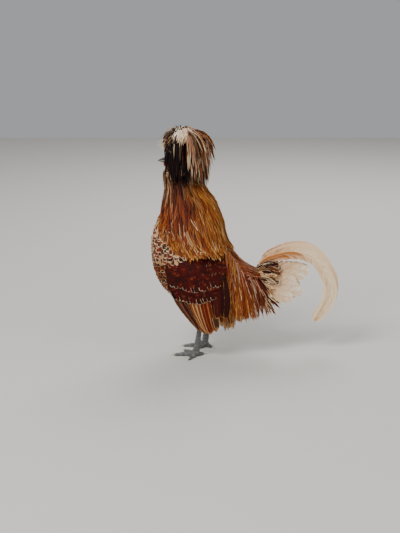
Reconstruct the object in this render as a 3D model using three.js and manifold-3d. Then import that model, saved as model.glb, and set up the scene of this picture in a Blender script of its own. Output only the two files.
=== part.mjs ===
// Polish crested cockerel, standing, life size.
// Millimetres, +Z up. The bird looks along -X and its left side is on -Y.
// The working frame has x = 0 between the feet and z = 0 under the soles; the finished
// group is moved along X so that its origin lies under the middle of the whole bird.

import * as THREE from 'three';
import { LoftGeometry } from 'three/addons/geometries/LoftGeometry.js';
import { mergeVertices } from 'three/addons/utils/BufferGeometryUtils.js';
import Module from 'manifold-3d';

const wasm = await Module();
wasm.setup();

// Driving dimensions

const CENTRE_X = 84;
const GAP = 0.3;
const CUT_GROWTH = 0.4;
const MERGE_TOLERANCE = 0.12;
const SEED = 20251;

const BODY_SIDES = 20;
const BODY_RINGS = 16;
const RUMP_PLANE_X = 42;
const RUMP_CORE_GROWTH = -5;
const BODY_STATIONS = [
  { upper: [24, 264], lower: [-81, 291], halfWidth: 46 },
  { upper: [39, 247], lower: [-96, 264], halfWidth: 57 },
  { upper: [51, 231], lower: [-103, 233], halfWidth: 63 },
  { upper: [62, 214], lower: [-102, 201], halfWidth: 65 },
  { upper: [73, 199], lower: [-96, 170], halfWidth: 64 },
  { upper: [85, 188], lower: [-79, 138], halfWidth: 62 },
  { upper: [96, 181], lower: [-47, 111], halfWidth: 60 },
  { upper: [105, 176], lower: [-6, 98], halfWidth: 55 },
  { upper: [113, 171], lower: [36, 92], halfWidth: 46 },
  { upper: [119, 166], lower: [74, 98], halfWidth: 34 },
  { upper: [124, 158], lower: [106, 118], halfWidth: 17 },
];

const NECK_SIDES = 12;
const NECK_STATIONS = [
  { z: 384, x: -42, halfDepth: 24, halfWidth: 20, core: 0.95 },
  { z: 362, x: -42, halfDepth: 37, halfWidth: 27, core: 0.95 },
  { z: 340, x: -37, halfDepth: 41, halfWidth: 35, core: 0.85 },
  { z: 318, x: -26, halfDepth: 56, halfWidth: 46, core: 0.7 },
  { z: 297, x: -24, halfDepth: 61, halfWidth: 54, core: 0.68 },
  { z: 277, x: -21, halfDepth: 63, halfWidth: 61, core: 0.68 },
  { z: 256, x: -18, halfDepth: 63, halfWidth: 68, core: 0.68 },
  { z: 236, x: -11, halfDepth: 61, halfWidth: 75, core: 0.68 },
  { z: 214, x: -2, halfDepth: 60, halfWidth: 80, core: 0.68 },
];
const CAPE_HEM = { front: 252, side: 200, back: 220 };
const HACKLE_SHAPE = [[0, 0.6], [0.4, 1], [0.76, 0.74], [1, 0.08]];
const HACKLE = {
  tiers: 4, around: 12, highestTip: 308, shortest: 56, longest: 92, sunk: 0.1, overlap: 1.04,
  thickness: 0.6, roll: 1.4,
};

const WING_ROWS = [
  [[-70, 44, 218], [-15, 57, 238], [38, 44, 222]],
  [[-76, 52, 186], [-18, 76, 190], [46, 62, 188]],
  [[-60, 60, 128], [-8, 82, 132], [49, 68, 130]],
  [[-14, 54, 62], [14, 60, 58], [42, 60, 74]],
];
const WING_CORE = { drop: 4.5, end: 0.74, rows: 7, columns: 6, depths: [16, 24, 22, 5], edgeDepth: 0.45 };
const ROUND_SHAPE = [[0, 0.5], [0.4, 1], [0.8, 0.95], [1, 0.45]];
const FLIGHT_SHAPE = [[0, 0.6], [0.5, 1], [0.86, 0.85], [1, 0.3]];
const COVERT = { rootLift: -7.5, overlap: 1.1, thickness: 0.6, roll: 1, clearance: 1.6 };
const COVERT_TIERS = [
  { count: 5, from: 0.1, to: 0.87, root: 0.08, tip: 0.32, lift: 0 },
  { count: 5, from: 0.05, to: 0.78, root: 0.24, tip: 0.54, lift: -0.4 },
  { count: 5, from: 0.07, to: 0.72, root: 0.4, tip: 0.68, lift: -0.8 },
];
const SECONDARIES = { count: 4, from: 0.36, to: 0.72, root: 0.5, tip: 0.99, outermost: -2.2, width: 18 };
const PRIMARIES = { count: 3, from: 0.05, to: 0.27, root: 0.46, tip: 0.99, outermost: -7.2, width: 18 };
const TERTIALS = { count: 2, from: 0.8, to: 0.95, root: 0.28, tip: 0.9, outermost: 0.8, width: 18 };
const FLIGHT = { step: 0.95, thickness: 0.6, rootDrop: 5, roundedBy: 0.03 };

const SKIRT = [
  [[56, 0, 226], [60, 44, 203], [62, 59, 146], [58, 54, 64]],
  [[73, 0, 196], [78, 40, 181], [82, 58, 137], [82, 54, 72]],
  [[88, 2, 186], [96, 34, 171], [106, 48, 130], [108, 44, 68]],
  [[98, 8, 181], [110, 27, 166], [127, 35, 128], [140, 29, 83]],
];
const SADDLE_TIERS = [
  { count: 6, root: 0.34, tip: 1, lift: -4 },
  { count: 5, root: 0.16, tip: 0.78, lift: -2 },
  { count: 4, root: 0.03, tip: 0.52, lift: 0 },
];
const SADDLE = { rootDepth: -12, overlap: 1.08, thickness: 0.6, roll: 1.2 };

const HEAD_CENTRE = new THREE.Vector3(-41, 0, 402);
const HEAD_YAW = THREE.MathUtils.degToRad(22);
const SKULL = [29, 18, 20];
const EYE = { radius: 5, ahead: 11, out: 14, up: 2 };
const LID = { tube: 1.1, inset: 0.3, squash: 0.82, out: 2.2 };
const BEAK = {
  base: 25, length: 29, halfWidth: 6.5, height: 8, level: -7, drop: 4, lowerDepth: 4.5, lowerLength: 0.85,
  taper: 0.97, bluntness: 1.6, rings: 6, sides: 8,
};
const NOSTRIL = { ahead: 33, out: 4.6, up: -2.6, radii: [3, 1.4, 1.2] };
const MOUTH_SLIT = { ahead: 24, length: 12, width: 40, height: 0.7 };
const COMB_HORN = { ahead: 25, out: 5, up: 10, radii: [4.2, 3, 7] };
const COMB_BRIDGE = { ahead: 24, out: 0, up: 8, radii: [4.4, 6, 4.4] };
const WATTLE = { ahead: 33, out: 4.8, up: -13.5, radii: [6.2, 2.6, 6.6] };
const EARLOBE = { ahead: -3, out: 16.5, up: -7, radii: [5, 2.2, 6] };

const CREST_AXIS = new THREE.Vector3(-42, 0, 424);
const CREST_CORE = { centre: [-41, 0, 410], radii: [27, 27, 29], floor: 409 };
const CREST_TIERS = [
  { count: 10, turn: 0, rootRadius: 5, rootRise: 2, peakRise: 46, reach: 1.02, bend: 14, lift: 52 },
  { count: 11, turn: 0.5, rootRadius: 11, rootRise: 0, peakRise: 36, reach: 0.95, bend: 3, lift: 24 },
  { count: 12, turn: 0, rootRadius: 17, rootRise: -5, peakRise: 23, reach: 0.93, bend: -9, lift: 0 },
];
const CREST_SPREAD = { front: 37, side: 45, back: 56 };
const CREST_HEM = { front: 411, side: 350, back: 340 };
const CREST_ARCH = { peakAt: 0.22, shoulderAt: 0.86, shoulderRise: 8, highestTip: 6 };
const CREST_SHAPE = [[0, 0.8], [0.28, 1], [0.52, 1.05], [0.8, 0.9], [1, 0.16]];
const CREST_VANE = { widest: 20, overlap: 1.06, thickness: 0.6, roll: 1.3 };

const TAIL_BASE = new THREE.Vector3(117, 0, 166);
const TAIL_BASE_RADII = new THREE.Vector3(15, 13, 17);
const RECTRICES = [
  { path: [[117, 7, 173], [165, 9, 179], [213, 12, 173]], width: 28 },
  { path: [[118, 8, 170], [160, 12, 171], [203, 17, 163]], width: 28 },
  { path: [[118, 8.5, 166], [155, 15, 161], [186, 21, 153]], width: 27 },
  { path: [[118, 9, 162], [152, 18, 150], [192, 23, 143]], width: 27 },
  { path: [[117, 9, 158], [148, 20, 139], [198, 26, 134]], width: 28 },
  { path: [[116, 9, 155], [143, 22, 129], [180, 28, 123]], width: 26 },
];
const RECTRIX_SHAPE = [[0, 0.4], [0.4, 1], [0.8, 1], [0.94, 0.78], [1, 0.34]];
const TAIL_COVERTS = [
  { path: [[110, 8, 178], [128, 13, 192], [149, 15, 196]], width: 12 },
  { path: [[111, 9, 175], [133, 17, 187], [159, 20, 175]], width: 13 },
  { path: [[112, 10, 171], [134, 20, 174], [158, 23, 161]], width: 13 },
  { path: [[113, 11, 167], [132, 21, 162], [149, 25, 147]], width: 12 },
];
const COVERT_SHAPE = [[0, 0.6], [0.4, 1], [0.78, 0.85], [1, 0.2]];
const RECTRIX_THICKNESS = 0.8;

const SICKLE_PATH = [
  [115, 182], [130, 199], [151, 207], [184, 214], [211, 210], [230, 198],
  [249, 171], [260, 140], [255.5, 110], [241, 84], [227, 67],
];
const SICKLE_WIDTHS = [9, 18, 25, 29, 29, 26, 22, 17, 15, 11, 3];
const SICKLE_OUT = [3.5, 5, 7, 9, 10, 10.5, 11, 11, 10, 8, 6];
const SICKLE_OFFSET = 3.5;
const SICKLE_SPLITS = [0, 0.36, 0.68, 1];
const SICKLE_THICKNESS = 1;
const SICKLE_RIDGE = 0.7;

const FOOT_SPREAD = 30;
const FOOT_X = { left: -14, right: 4 };
const SHANK = {
  top: 76, bottom: 13, lean: 10, radius: 5.6, scutes: 7, scuteRise: 0.6, sides: 8, flatness: 0.86,
  hockSwell: 1.2, waist: 0.2, taper: 0.12,
};
const THIGH_FLATNESS = 0.78;
const THIGH_STATIONS = [
  { x: -5, z: 134, radius: 30 },
  { x: -4, z: 110, radius: 28 },
  { x: 4, z: 91, radius: 18 },
  { x: 10, z: 76.3, radius: 9 },
];
const FOOT_PAD = { height: 6, radii: [9, 8, 7.5] };
const TOES = [
  { name: 'middle', heading: -1, length: 45, scutes: 4 },
  { name: 'inner', heading: -50, length: 38, scutes: 3 },
  { name: 'outer', heading: 62, length: 33, scutes: 3 },
  { name: 'rear', heading: 205, length: 17, scutes: 2 },
];
const TOE = { rootHalfWidth: 5, endHalfWidth: 3.4, rootHeight: 10, endHeight: 6, scuteRise: 0.5, sides: 6 };
const CLAW = { length: 10, radius: 2.1, rise: 3.8, arch: 0.9, bend: 2.2, taper: 0.85, flatness: 0.8 };
const SPUR = { z: 30, length: 9, radius: 2.6, back: 0.75, inwards: 0.65, up: 0.1, taper: 0.8 };

const COLOURS = {
  breast: 0xb98248,
  hackle: 0xa8602a,
  saddle: 0xa5561f,
  wing: 0x6d2413,
  tail: 0xe6cba6,
  crest: 0x2a1c1a,
  skin: 0xa3241f,
  lobe: 0xd9c9bb,
  beak: 0x3d3a3a,
  eye: 0xb0501c,
  leg: 0x7b8086,
  claw: 0xc4bfb2,
  thigh: 0xa9763f,
};

// Solids and meshes

// Triangles that still have three different corners after their vertices are merged.
const wholeTriangles = (index) => {
  const kept = [];
  for (let i = 0; i < index.length; i += 3) {
    const [a, b, c] = [index[i], index[i + 1], index[i + 2]];
    if (a !== b && b !== c && c !== a) kept.push(a, b, c);
  }
  return kept;
};

const solidOf = (geometry) => {
  const bare = new THREE.BufferGeometry();
  bare.setAttribute('position', geometry.getAttribute('position'));
  bare.setIndex(geometry.getIndex());
  const merged = mergeVertices(bare, 1e-3);
  const position = merged.getAttribute('position');
  const index = wholeTriangles(merged.getIndex().array);
  const [a, b, c] = [new THREE.Vector3(), new THREE.Vector3(), new THREE.Vector3()];
  let volume = 0;
  for (let i = 0; i < index.length; i += 3) {
    a.fromBufferAttribute(position, index[i]);
    b.fromBufferAttribute(position, index[i + 1]);
    c.fromBufferAttribute(position, index[i + 2]);
    volume += a.dot(b.cross(c));
  }
  if (volume < 0) index.reverse();
  const mesh = new wasm.Mesh({
    numProp: 3,
    vertProperties: new Float32Array(position.array),
    triVerts: new Uint32Array(index),
  });
  return new wasm.Manifold(mesh);
};

const largestOf = (solid) => {
  const pieces = solid.decompose();
  return pieces.reduce((best, piece) => (piece.volume() > best.volume() ? piece : best));
};

const geometryOf = (solid) => {
  const mesh = solid.getMesh();
  const geometry = new THREE.BufferGeometry();
  const position = new THREE.BufferAttribute(new Float32Array(mesh.vertProperties), 3);
  geometry.setAttribute('position', position);
  geometry.setIndex([...mesh.triVerts]);
  geometry.computeVertexNormals();
  return geometry;
};

const group = new THREE.Group();

const addNode = (name, solid, color, roughness = 0.8) => {
  const material = new THREE.MeshStandardMaterial({ color, roughness, metalness: 0 });
  const whole = largestOf(solid.asOriginal().simplify(MERGE_TOLERANCE));
  const mesh = new THREE.Mesh(geometryOf(whole), material);
  mesh.name = name;
  group.add(mesh);
};

// Shapes that the parts share

const vector = ([x, y, z]) => new THREE.Vector3(x, y, z);
const smoothCurve = (points) => new THREE.CatmullRomCurve3(points, false, 'centripetal');
const range = (count) => Array.from({ length: count }, (_, i) => i);
const fractions = (count) => range(count).map((i) => i / (count - 1));

const ring = (centre, depthAxis, widthAxis, sides) => range(sides).map((i) => {
  const angle = (i / sides) * 2 * Math.PI;
  return centre.clone()
    .addScaledVector(depthAxis, Math.cos(angle))
    .addScaledVector(widthAxis, Math.sin(angle));
});

// A closed skin through rings of points, each ring wound so that the skin faces outwards.
const loft = (sections) => {
  const [first, second, third] = sections[0];
  const facing = second.clone().sub(first).cross(third.clone().sub(second));
  const onwards = sections[1][0].clone().sub(first);
  const rings = facing.dot(onwards) > 0 ? sections : sections.map((section) => [...section].reverse());
  return new LoftGeometry(rings, { capStart: true, capEnd: true });
};

// A closed plate between two grids of points, its triangles alike on both faces.
const slab = (upper, lower) => {
  const rows = upper.length;
  const columns = upper[0].length;
  const positions = [...upper.flat(), ...lower.flat()].flatMap((p) => [p.x, p.y, p.z]);
  const top = (i, j) => i * columns + j;
  const bottom = (i, j) => rows * columns + top(i, j);
  const index = [];
  for (let i = 0; i < rows - 1; i += 1) {
    for (let j = 0; j < columns - 1; j += 1) {
      const [a, b, c, d] = [[i, j], [i + 1, j], [i + 1, j + 1], [i, j + 1]];
      index.push(top(...a), top(...b), top(...c), top(...a), top(...c), top(...d));
      index.push(bottom(...a), bottom(...c), bottom(...b));
      index.push(bottom(...a), bottom(...d), bottom(...c));
    }
  }
  const rim = [
    ...range(columns - 1).map((j) => [[0, j], [0, j + 1]]),
    ...range(rows - 1).map((i) => [[i, columns - 1], [i + 1, columns - 1]]),
    ...range(columns - 1).map((j) => [[rows - 1, columns - 1 - j], [rows - 1, columns - 2 - j]]),
    ...range(rows - 1).map((i) => [[rows - 1 - i, 0], [rows - 2 - i, 0]]),
  ];
  for (const [from, to] of rim) {
    index.push(top(...from), top(...to), bottom(...to));
    index.push(top(...from), bottom(...to), bottom(...from));
  }
  const geometry = new THREE.BufferGeometry();
  geometry.setAttribute('position', new THREE.Float32BufferAttribute(positions, 3));
  geometry.setIndex(index);
  return geometry;
};

const ellipsoid = (centre, radii, yaw = 0, columns = 16, rows = 10) => {
  const geometry = new THREE.SphereGeometry(1, columns, rows);
  geometry.scale(radii.x, radii.y, radii.z);
  geometry.rotateZ(-yaw);
  geometry.translate(centre.x, centre.y, centre.z);
  return solidOf(geometry);
};

// The value at x of a line through points [x, value] given in rising order of x.
const along = (points, x) => {
  const i = points.findIndex(([px]) => px >= x);
  if (i <= 0) return points[i === 0 ? 0 : points.length - 1][1];
  const [[x0, v0], [x1, v1]] = [points[i - 1], points[i]];
  return THREE.MathUtils.mapLinear(x, x0, x1, v0, v1);
};

// A value that turns smoothly from the front, round the side, to the back of the bird.
// The angle is 0 at the front, a quarter turn at either side and a half turn at the back.
const roundAbout = ({ front, side, back }, angle) => {
  const turn = Math.cos(angle);
  const end = turn > 0 ? front : back;
  return THREE.MathUtils.lerp(side, end, turn * turn);
};

let randomState = SEED;
const vary = (amount) => {
  randomState = (randomState * 48271) % 2147483647;
  return (randomState / 2147483647 * 2 - 1) * amount;
};

// A feather's vane through its centre points: thin, as wide as each width, and rolled a little
// so that its one edge lies over the next vane.
const vane = (centres, outwards, widths, thickness, roll = 0) => {
  const last = centres.length - 1;
  const upper = [];
  const lower = [];
  centres.forEach((centre, i) => {
    const onwards = centres[Math.min(i + 1, last)].clone().sub(centres[Math.max(i - 1, 0)]).normalize();
    const across = new THREE.Vector3().crossVectors(onwards, outwards[i]).normalize();
    const normal = new THREE.Vector3().crossVectors(across, onwards).normalize();
    const row = [-0.5, 0.5].map((f) => centre.clone()
      .addScaledVector(across, f * widths[i])
      .addScaledVector(normal, 2 * f * roll));
    upper.push(row.map((p) => p.clone().addScaledVector(normal, thickness / 2)));
    lower.push(row.map((p) => p.clone().addScaledVector(normal, -thickness / 2)));
  });
  return solidOf(slab(upper, lower));
};

const joined = (solids) => wasm.Manifold.union(solids);

// Body: one smooth form from the breast to the root of the tail

const bodySolid = (growth) => {
  const upper = smoothCurve(BODY_STATIONS.map((s) => new THREE.Vector3(s.upper[0], 0, s.upper[1])));
  const lower = smoothCurve(BODY_STATIONS.map((s) => new THREE.Vector3(s.lower[0], 0, s.lower[1])));
  const last = BODY_STATIONS.length - 1;
  const width = smoothCurve(BODY_STATIONS.map((s, i) => new THREE.Vector3(i / last, s.halfWidth, 0)));
  const sections = fractions(BODY_RINGS).map((t) => {
    const top = upper.getPoint(t);
    const bottom = lower.getPoint(t);
    const centre = top.clone().add(bottom).multiplyScalar(0.5);
    const depth = top.sub(bottom).multiplyScalar(0.5);
    depth.setLength(depth.length() + growth);
    const halfWidth = width.getPoint(t).y + growth;
    return ring(centre, depth, new THREE.Vector3(0, halfWidth, 0), BODY_SIDES);
  });
  const swell = Math.max(growth, 0);
  sections[0].forEach((point) => point.add(new THREE.Vector3(-swell, 0, 2 * swell)));
  sections.at(-1).forEach((point) => point.add(new THREE.Vector3(swell, 0, 0)));
  return solidOf(loft(sections));
};

const bodyCutter = bodySolid(CUT_GROWTH);
const torso = bodySolid(0).trimByPlane([-1, 0, 0], -RUMP_PLANE_X);
const rumpCore = bodySolid(RUMP_CORE_GROWTH).trimByPlane([1, 0, 0], RUMP_PLANE_X + GAP);

// Neck: a core with tiers of hackle feathers that fall as a cape over the shoulders

const neckStation = (z) => {
  const rising = [...NECK_STATIONS].reverse();
  const value = (key) => along(rising.map((s) => [s.z, s[key]]), z);
  return { x: value('x'), halfDepth: value('halfDepth'), halfWidth: value('halfWidth'), core: value('core') };
};

// A point round the neck at a share of the way from its axis to the tips of the hackle.
const neckPoint = (angle, z, share) => {
  const { x, halfDepth, halfWidth } = neckStation(z);
  return new THREE.Vector3(
    x - Math.cos(angle) * halfDepth * share, Math.sin(angle) * halfWidth * share, z,
  );
};

const neckCore = (growth) => {
  const round = range(NECK_SIDES).map((i) => (i / NECK_SIDES) * 2 * Math.PI);
  return solidOf(loft(NECK_STATIONS.map(({ z, core, halfWidth }) => (
    round.map((angle) => neckPoint(angle, z, core + growth / halfWidth))
  ))));
};

const hackleFeather = (tier, place) => {
  const angle = (place + (tier % 2) / 2) / HACKLE.around * 2 * Math.PI + vary(0.06);
  const down = tier / (HACKLE.tiers - 1);
  const tip = THREE.MathUtils.lerp(HACKLE.highestTip, roundAbout(CAPE_HEM, angle), down) + vary(4);
  const root = tip + THREE.MathUtils.lerp(HACKLE.shortest, HACKLE.longest, down);
  const rootShare = neckStation(root).core - HACKLE.sunk;
  const steps = HACKLE_SHAPE.map(([t]) => t);
  const centres = steps.map((t) => neckPoint(
    angle, THREE.MathUtils.lerp(root, tip, t), THREE.MathUtils.lerp(rootShare, 1, t),
  ));
  const outwards = steps.map(() => new THREE.Vector3(-Math.cos(angle), Math.sin(angle), 0.15));
  const widths = HACKLE_SHAPE.map(([t, share]) => {
    const { halfDepth, halfWidth } = neckStation(THREE.MathUtils.lerp(root, tip, t));
    const girth = Math.PI * (halfDepth + halfWidth) * THREE.MathUtils.lerp(rootShare, 1, t);
    return share * HACKLE.overlap * girth / HACKLE.around;
  });
  return vane(centres, outwards, widths, HACKLE.thickness, HACKLE.roll);
};

const hackles = range(HACKLE.tiers).flatMap((tier) => (
  range(HACKLE.around).map((place) => hackleFeather(tier, place))
));

// Wings: a core, tiers of coverts, and the folded flight feathers stacked under them

const wingColumns = range(3).map((j) => smoothCurve(WING_ROWS.map((row) => vector(row[j]))));
const wingPoint = (side, s, t, lift) => {
  const across = smoothCurve(wingColumns.map((column) => column.getPoint(t)));
  const point = across.getPoint(s);
  point.y = side * (point.y + lift);
  return point;
};
const wingDepthPoints = WING_CORE.depths.map((depth, i) => [i / 3, depth]);

const wingCore = (side, outerGrowth, innerGrowth) => {
  const rows = fractions(WING_CORE.rows).map((f) => f * WING_CORE.end);
  const face = (lift) => rows.map((t) => (
    fractions(WING_CORE.columns).map((s) => wingPoint(side, s, t, lift(s, t) - WING_CORE.drop))
  ));
  const outer = face(() => outerGrowth);
  const inner = face((s, t) => {
    const fullness = THREE.MathUtils.lerp(WING_CORE.edgeDepth, 1, Math.sin(Math.PI * s));
    return -along(wingDepthPoints, t) * fullness - innerGrowth;
  });
  return solidOf(slab(outer, inner));
};

// A wing feather from (s, root) to (s, tip); its lift over the wing's outer face runs
// from the core at the root to the given lift at the tip.
const wingFeather = (side, shape, { s, root, tip, rootLift, tipLift, width, thickness, roll }) => {
  const steps = shape.map(([t]) => t);
  const place = (t) => wingPoint(
    side, s, THREE.MathUtils.lerp(root, tip, t), THREE.MathUtils.lerp(rootLift, tipLift, t),
  );
  const outwards = steps.map(() => new THREE.Vector3(0, side, 0));
  return vane(steps.map(place), outwards, shape.map(([, share]) => share * width), thickness, roll);
};

const covertTier = (side, { count, from, to, root, tip, lift }) => fractions(count).map((f) => {
  const s = THREE.MathUtils.lerp(from, to, f) + vary(0.008);
  const span = wingPoint(1, from, tip, 0).distanceTo(wingPoint(1, to, tip, 0));
  return wingFeather(side, ROUND_SHAPE, {
    s, root, tip: tip + vary(0.012), rootLift: COVERT.rootLift, tipLift: lift,
    width: span / (count - 1) * COVERT.overlap, thickness: COVERT.thickness, roll: side * COVERT.roll,
  });
});

const flightTier = (side, { count, from, to, root, tip, outermost, width }) => (
  fractions(count).map((f, i) => wingFeather(side, FLIGHT_SHAPE, {
    s: THREE.MathUtils.lerp(from, to, f),
    root,
    tip: tip - FLIGHT.roundedBy * Math.abs(f - 0.5) + vary(0.006),
    rootLift: outermost - FLIGHT.rootDrop - (count - 1 - i) * FLIGHT.step,
    tipLift: outermost - (count - 1 - i) * FLIGHT.step,
    width,
    thickness: FLIGHT.thickness,
    roll: 0,
  }))
);

const wingSolid = (side) => joined([
  wingCore(side, 0, 0),
  ...COVERT_TIERS.flatMap((tier) => covertTier(side, tier)),
  ...flightTier(side, SECONDARIES),
  ...flightTier(side, PRIMARIES),
  ...flightTier(side, TERTIALS),
]);

// Saddle: long narrow feathers from the back, over the flanks, to a hem beside the thighs

const skirtColumns = range(4).map((j) => smoothCurve(SKIRT.map((row) => vector(row[j]))));
const skirtPoint = (side, a, w) => {
  const point = smoothCurve(skirtColumns.map((column) => column.getPoint(a))).getPoint(w);
  point.y *= side;
  return point;
};
const skirtOutward = (side, a, w) => {
  const step = 0.02;
  const down = skirtPoint(side, a, Math.min(w + step, 1)).sub(skirtPoint(side, a, Math.max(w - step, 0)));
  const back = skirtPoint(side, Math.min(a + step, 1), w).sub(skirtPoint(side, Math.max(a - step, 0), w));
  return back.cross(down).multiplyScalar(side).normalize();
};

const saddleFeather = (side, a, { count, root, tip, lift }) => {
  const end = tip + vary(0.03);
  const steps = HACKLE_SHAPE.map(([t]) => t);
  const across = steps.map((t) => THREE.MathUtils.lerp(root, end, t));
  const outwards = across.map((w) => skirtOutward(side, a, w));
  const centres = across.map((w, i) => skirtPoint(side, a, w)
    .addScaledVector(outwards[i], THREE.MathUtils.lerp(SADDLE.rootDepth, lift, steps[i])));
  const widths = HACKLE_SHAPE.map(([, share], i) => {
    const span = skirtPoint(side, 0, across[i]).distanceTo(skirtPoint(side, 1, across[i]));
    return share * SADDLE.overlap * span / (count - 1);
  });
  return vane(centres, outwards, widths, SADDLE.thickness, side * SADDLE.roll);
};

const saddle = (side) => SADDLE_TIERS.flatMap((tier, k) => fractions(tier.count).map((f) => (
  saddleFeather(side, THREE.MathUtils.clamp(f + (k % 2 ? 0.06 : 0) + vary(0.01), 0.01, 0.99), tier)
)));

// Head

const headPoint = (ahead, out, up) => new THREE.Vector3(-ahead, out, up)
  .applyAxisAngle(new THREE.Vector3(0, 0, 1), -HEAD_YAW)
  .add(HEAD_CENTRE);

const headBulb = ({ ahead, out, up, radii }, side, growth = 0, columns = 10, rows = 7) => ellipsoid(
  headPoint(ahead, side * out, up), vector(radii).addScalar(growth), HEAD_YAW, columns, rows,
);

const skullSolid = (growth) => headBulb({ ahead: 0, out: 0, up: 0, radii: SKULL }, 1, growth, 16, 11);
const eyeSolid = (side, growth) => {
  const radii = [EYE.radius, EYE.radius, EYE.radius];
  return headBulb({ ...EYE, radii }, side, growth, 10, 8);
};

const eyelid = (side) => {
  const geometry = new THREE.TorusGeometry(EYE.radius - LID.inset, LID.tube, 5, 14);
  geometry.scale(1, LID.squash, 1);
  geometry.rotateX(Math.PI / 2);
  geometry.rotateZ(-HEAD_YAW);
  const centre = headPoint(EYE.ahead, side * (EYE.out + LID.out), EYE.up);
  geometry.translate(centre.x, centre.y, centre.z);
  return solidOf(geometry);
};

const mouthSlit = () => {
  const geometry = new THREE.BoxGeometry(MOUTH_SLIT.length, MOUTH_SLIT.width, MOUTH_SLIT.height);
  geometry.rotateZ(-HEAD_YAW);
  const centre = headPoint(MOUTH_SLIT.ahead, 0, BEAK.level);
  geometry.translate(centre.x, centre.y, centre.z);
  return solidOf(geometry);
};

// One mandible from its base, at reach 0, to its tip, at reach 1.
const mandible = (bottom, top, length, growth) => {
  const sections = fractions(BEAK.rings).map((reach) => {
    const taper = Math.sqrt(1 - BEAK.taper * reach ** BEAK.bluntness);
    const ahead = BEAK.base + (length + growth) * reach;
    const level = BEAK.level - BEAK.drop * reach * reach;
    return range(BEAK.sides).map((i) => {
      const angle = ((i + 0.5) / BEAK.sides) * 2 * Math.PI;
      const rise = THREE.MathUtils.mapLinear(
        Math.sin(angle), -1, 1, (bottom - growth) * taper, (top + growth) * taper,
      );
      return headPoint(ahead, Math.cos(angle) * (BEAK.halfWidth + growth) * taper, level + rise);
    });
  });
  return solidOf(loft(sections));
};
const upperMandible = (growth) => mandible(GAP, BEAK.height, BEAK.length, growth);
const lowerMandible = (growth) => (
  mandible(-BEAK.lowerDepth, -GAP, BEAK.length * BEAK.lowerLength, growth)
);

// Crest: a low core on the crown, and feathers that arch from it and fall on every side

const crestFeather = (tier, place) => {
  const angle = (place + tier.turn) / tier.count * 2 * Math.PI + vary(0.05);
  const heading = new THREE.Vector3(-Math.cos(angle), Math.sin(angle), 0);
  const spread = roundAbout(CREST_SPREAD, angle) * tier.reach;
  const hem = roundAbout(CREST_HEM, angle - HEAD_YAW);
  const tipZ = Math.min(hem + tier.lift, CREST_AXIS.z + CREST_ARCH.highestTip) + vary(3);
  const shoulderZ = Math.max(tipZ + CREST_ARCH.shoulderRise, CREST_AXIS.z + tier.bend);
  const at = (radius, z) => CREST_AXIS.clone().setZ(z).addScaledVector(heading, radius);
  const path = smoothCurve([
    at(tier.rootRadius, CREST_AXIS.z + tier.rootRise),
    at(tier.rootRadius + spread * CREST_ARCH.peakAt, CREST_AXIS.z + tier.peakRise),
    at(spread * CREST_ARCH.shoulderAt, shoulderZ),
    at(spread, tipZ),
  ]);
  const sideways = new THREE.Vector3().crossVectors(heading, new THREE.Vector3(0, 0, 1));
  const centres = CREST_SHAPE.map(([t]) => path.getPoint(t));
  const outwards = CREST_SHAPE.map(([t]) => (
    new THREE.Vector3().crossVectors(sideways, path.getTangent(t)).normalize()
  ));
  const widths = CREST_SHAPE.map(([, share], i) => {
    const radius = Math.hypot(centres[i].x - CREST_AXIS.x, centres[i].y);
    return share * Math.min(CREST_VANE.overlap * 2 * Math.PI * radius / tier.count, CREST_VANE.widest);
  });
  return vane(centres, outwards, widths, CREST_VANE.thickness, CREST_VANE.roll);
};

const crestCore = () => ellipsoid(
  vector(CREST_CORE.centre), vector(CREST_CORE.radii), 0, 12, 10,
).trimByPlane([0, 0, 1], CREST_CORE.floor);

const crestFeathers = CREST_TIERS.flatMap((tier) => (
  range(tier.count).map((place) => crestFeather(tier, place))
));

// Tail

const tailBase = (growth) => ellipsoid(TAIL_BASE, TAIL_BASE_RADII.clone().addScalar(growth), 0, 12, 8);

const tailFeather = (side, shape, growth, { path, width }) => {
  const curve = smoothCurve(path.map(([x, y, z]) => new THREE.Vector3(x, side * y, z)));
  const outwards = shape.map(() => new THREE.Vector3(0, side, 0.1));
  const centres = shape.map(([t]) => curve.getPoint(t));
  const widths = shape.map(([, share]) => share * width + 2 * growth);
  return vane(centres, outwards, widths, RECTRIX_THICKNESS + 2 * growth);
};

const tailSolid = (side, growth) => joined([
  tailBase(growth).trimByPlane([0, side, 0], GAP / 2 - growth),
  ...RECTRICES.map((feather) => tailFeather(side, RECTRIX_SHAPE, growth, feather)),
  ...TAIL_COVERTS.map((feather) => tailFeather(side, COVERT_SHAPE, growth, feather)),
]);

// Sickle feathers: the left one runs a little inside the right one's curve

const sicklePath = (side) => {
  const centres = SICKLE_PATH.map(([x, z]) => new THREE.Vector3(x, 0, z));
  const plain = smoothCurve(centres);
  const last = centres.length - 1;
  return smoothCurve(centres.map((centre, i) => {
    const onwards = plain.getTangent(i / last);
    const inwards = new THREE.Vector3(onwards.z, 0, -onwards.x);
    const shift = -side * SICKLE_OFFSET * Math.sin(Math.PI * i / last);
    const point = centre.clone().addScaledVector(inwards, shift);
    point.y = side * SICKLE_OUT[i];
    return point;
  }));
};

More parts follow.
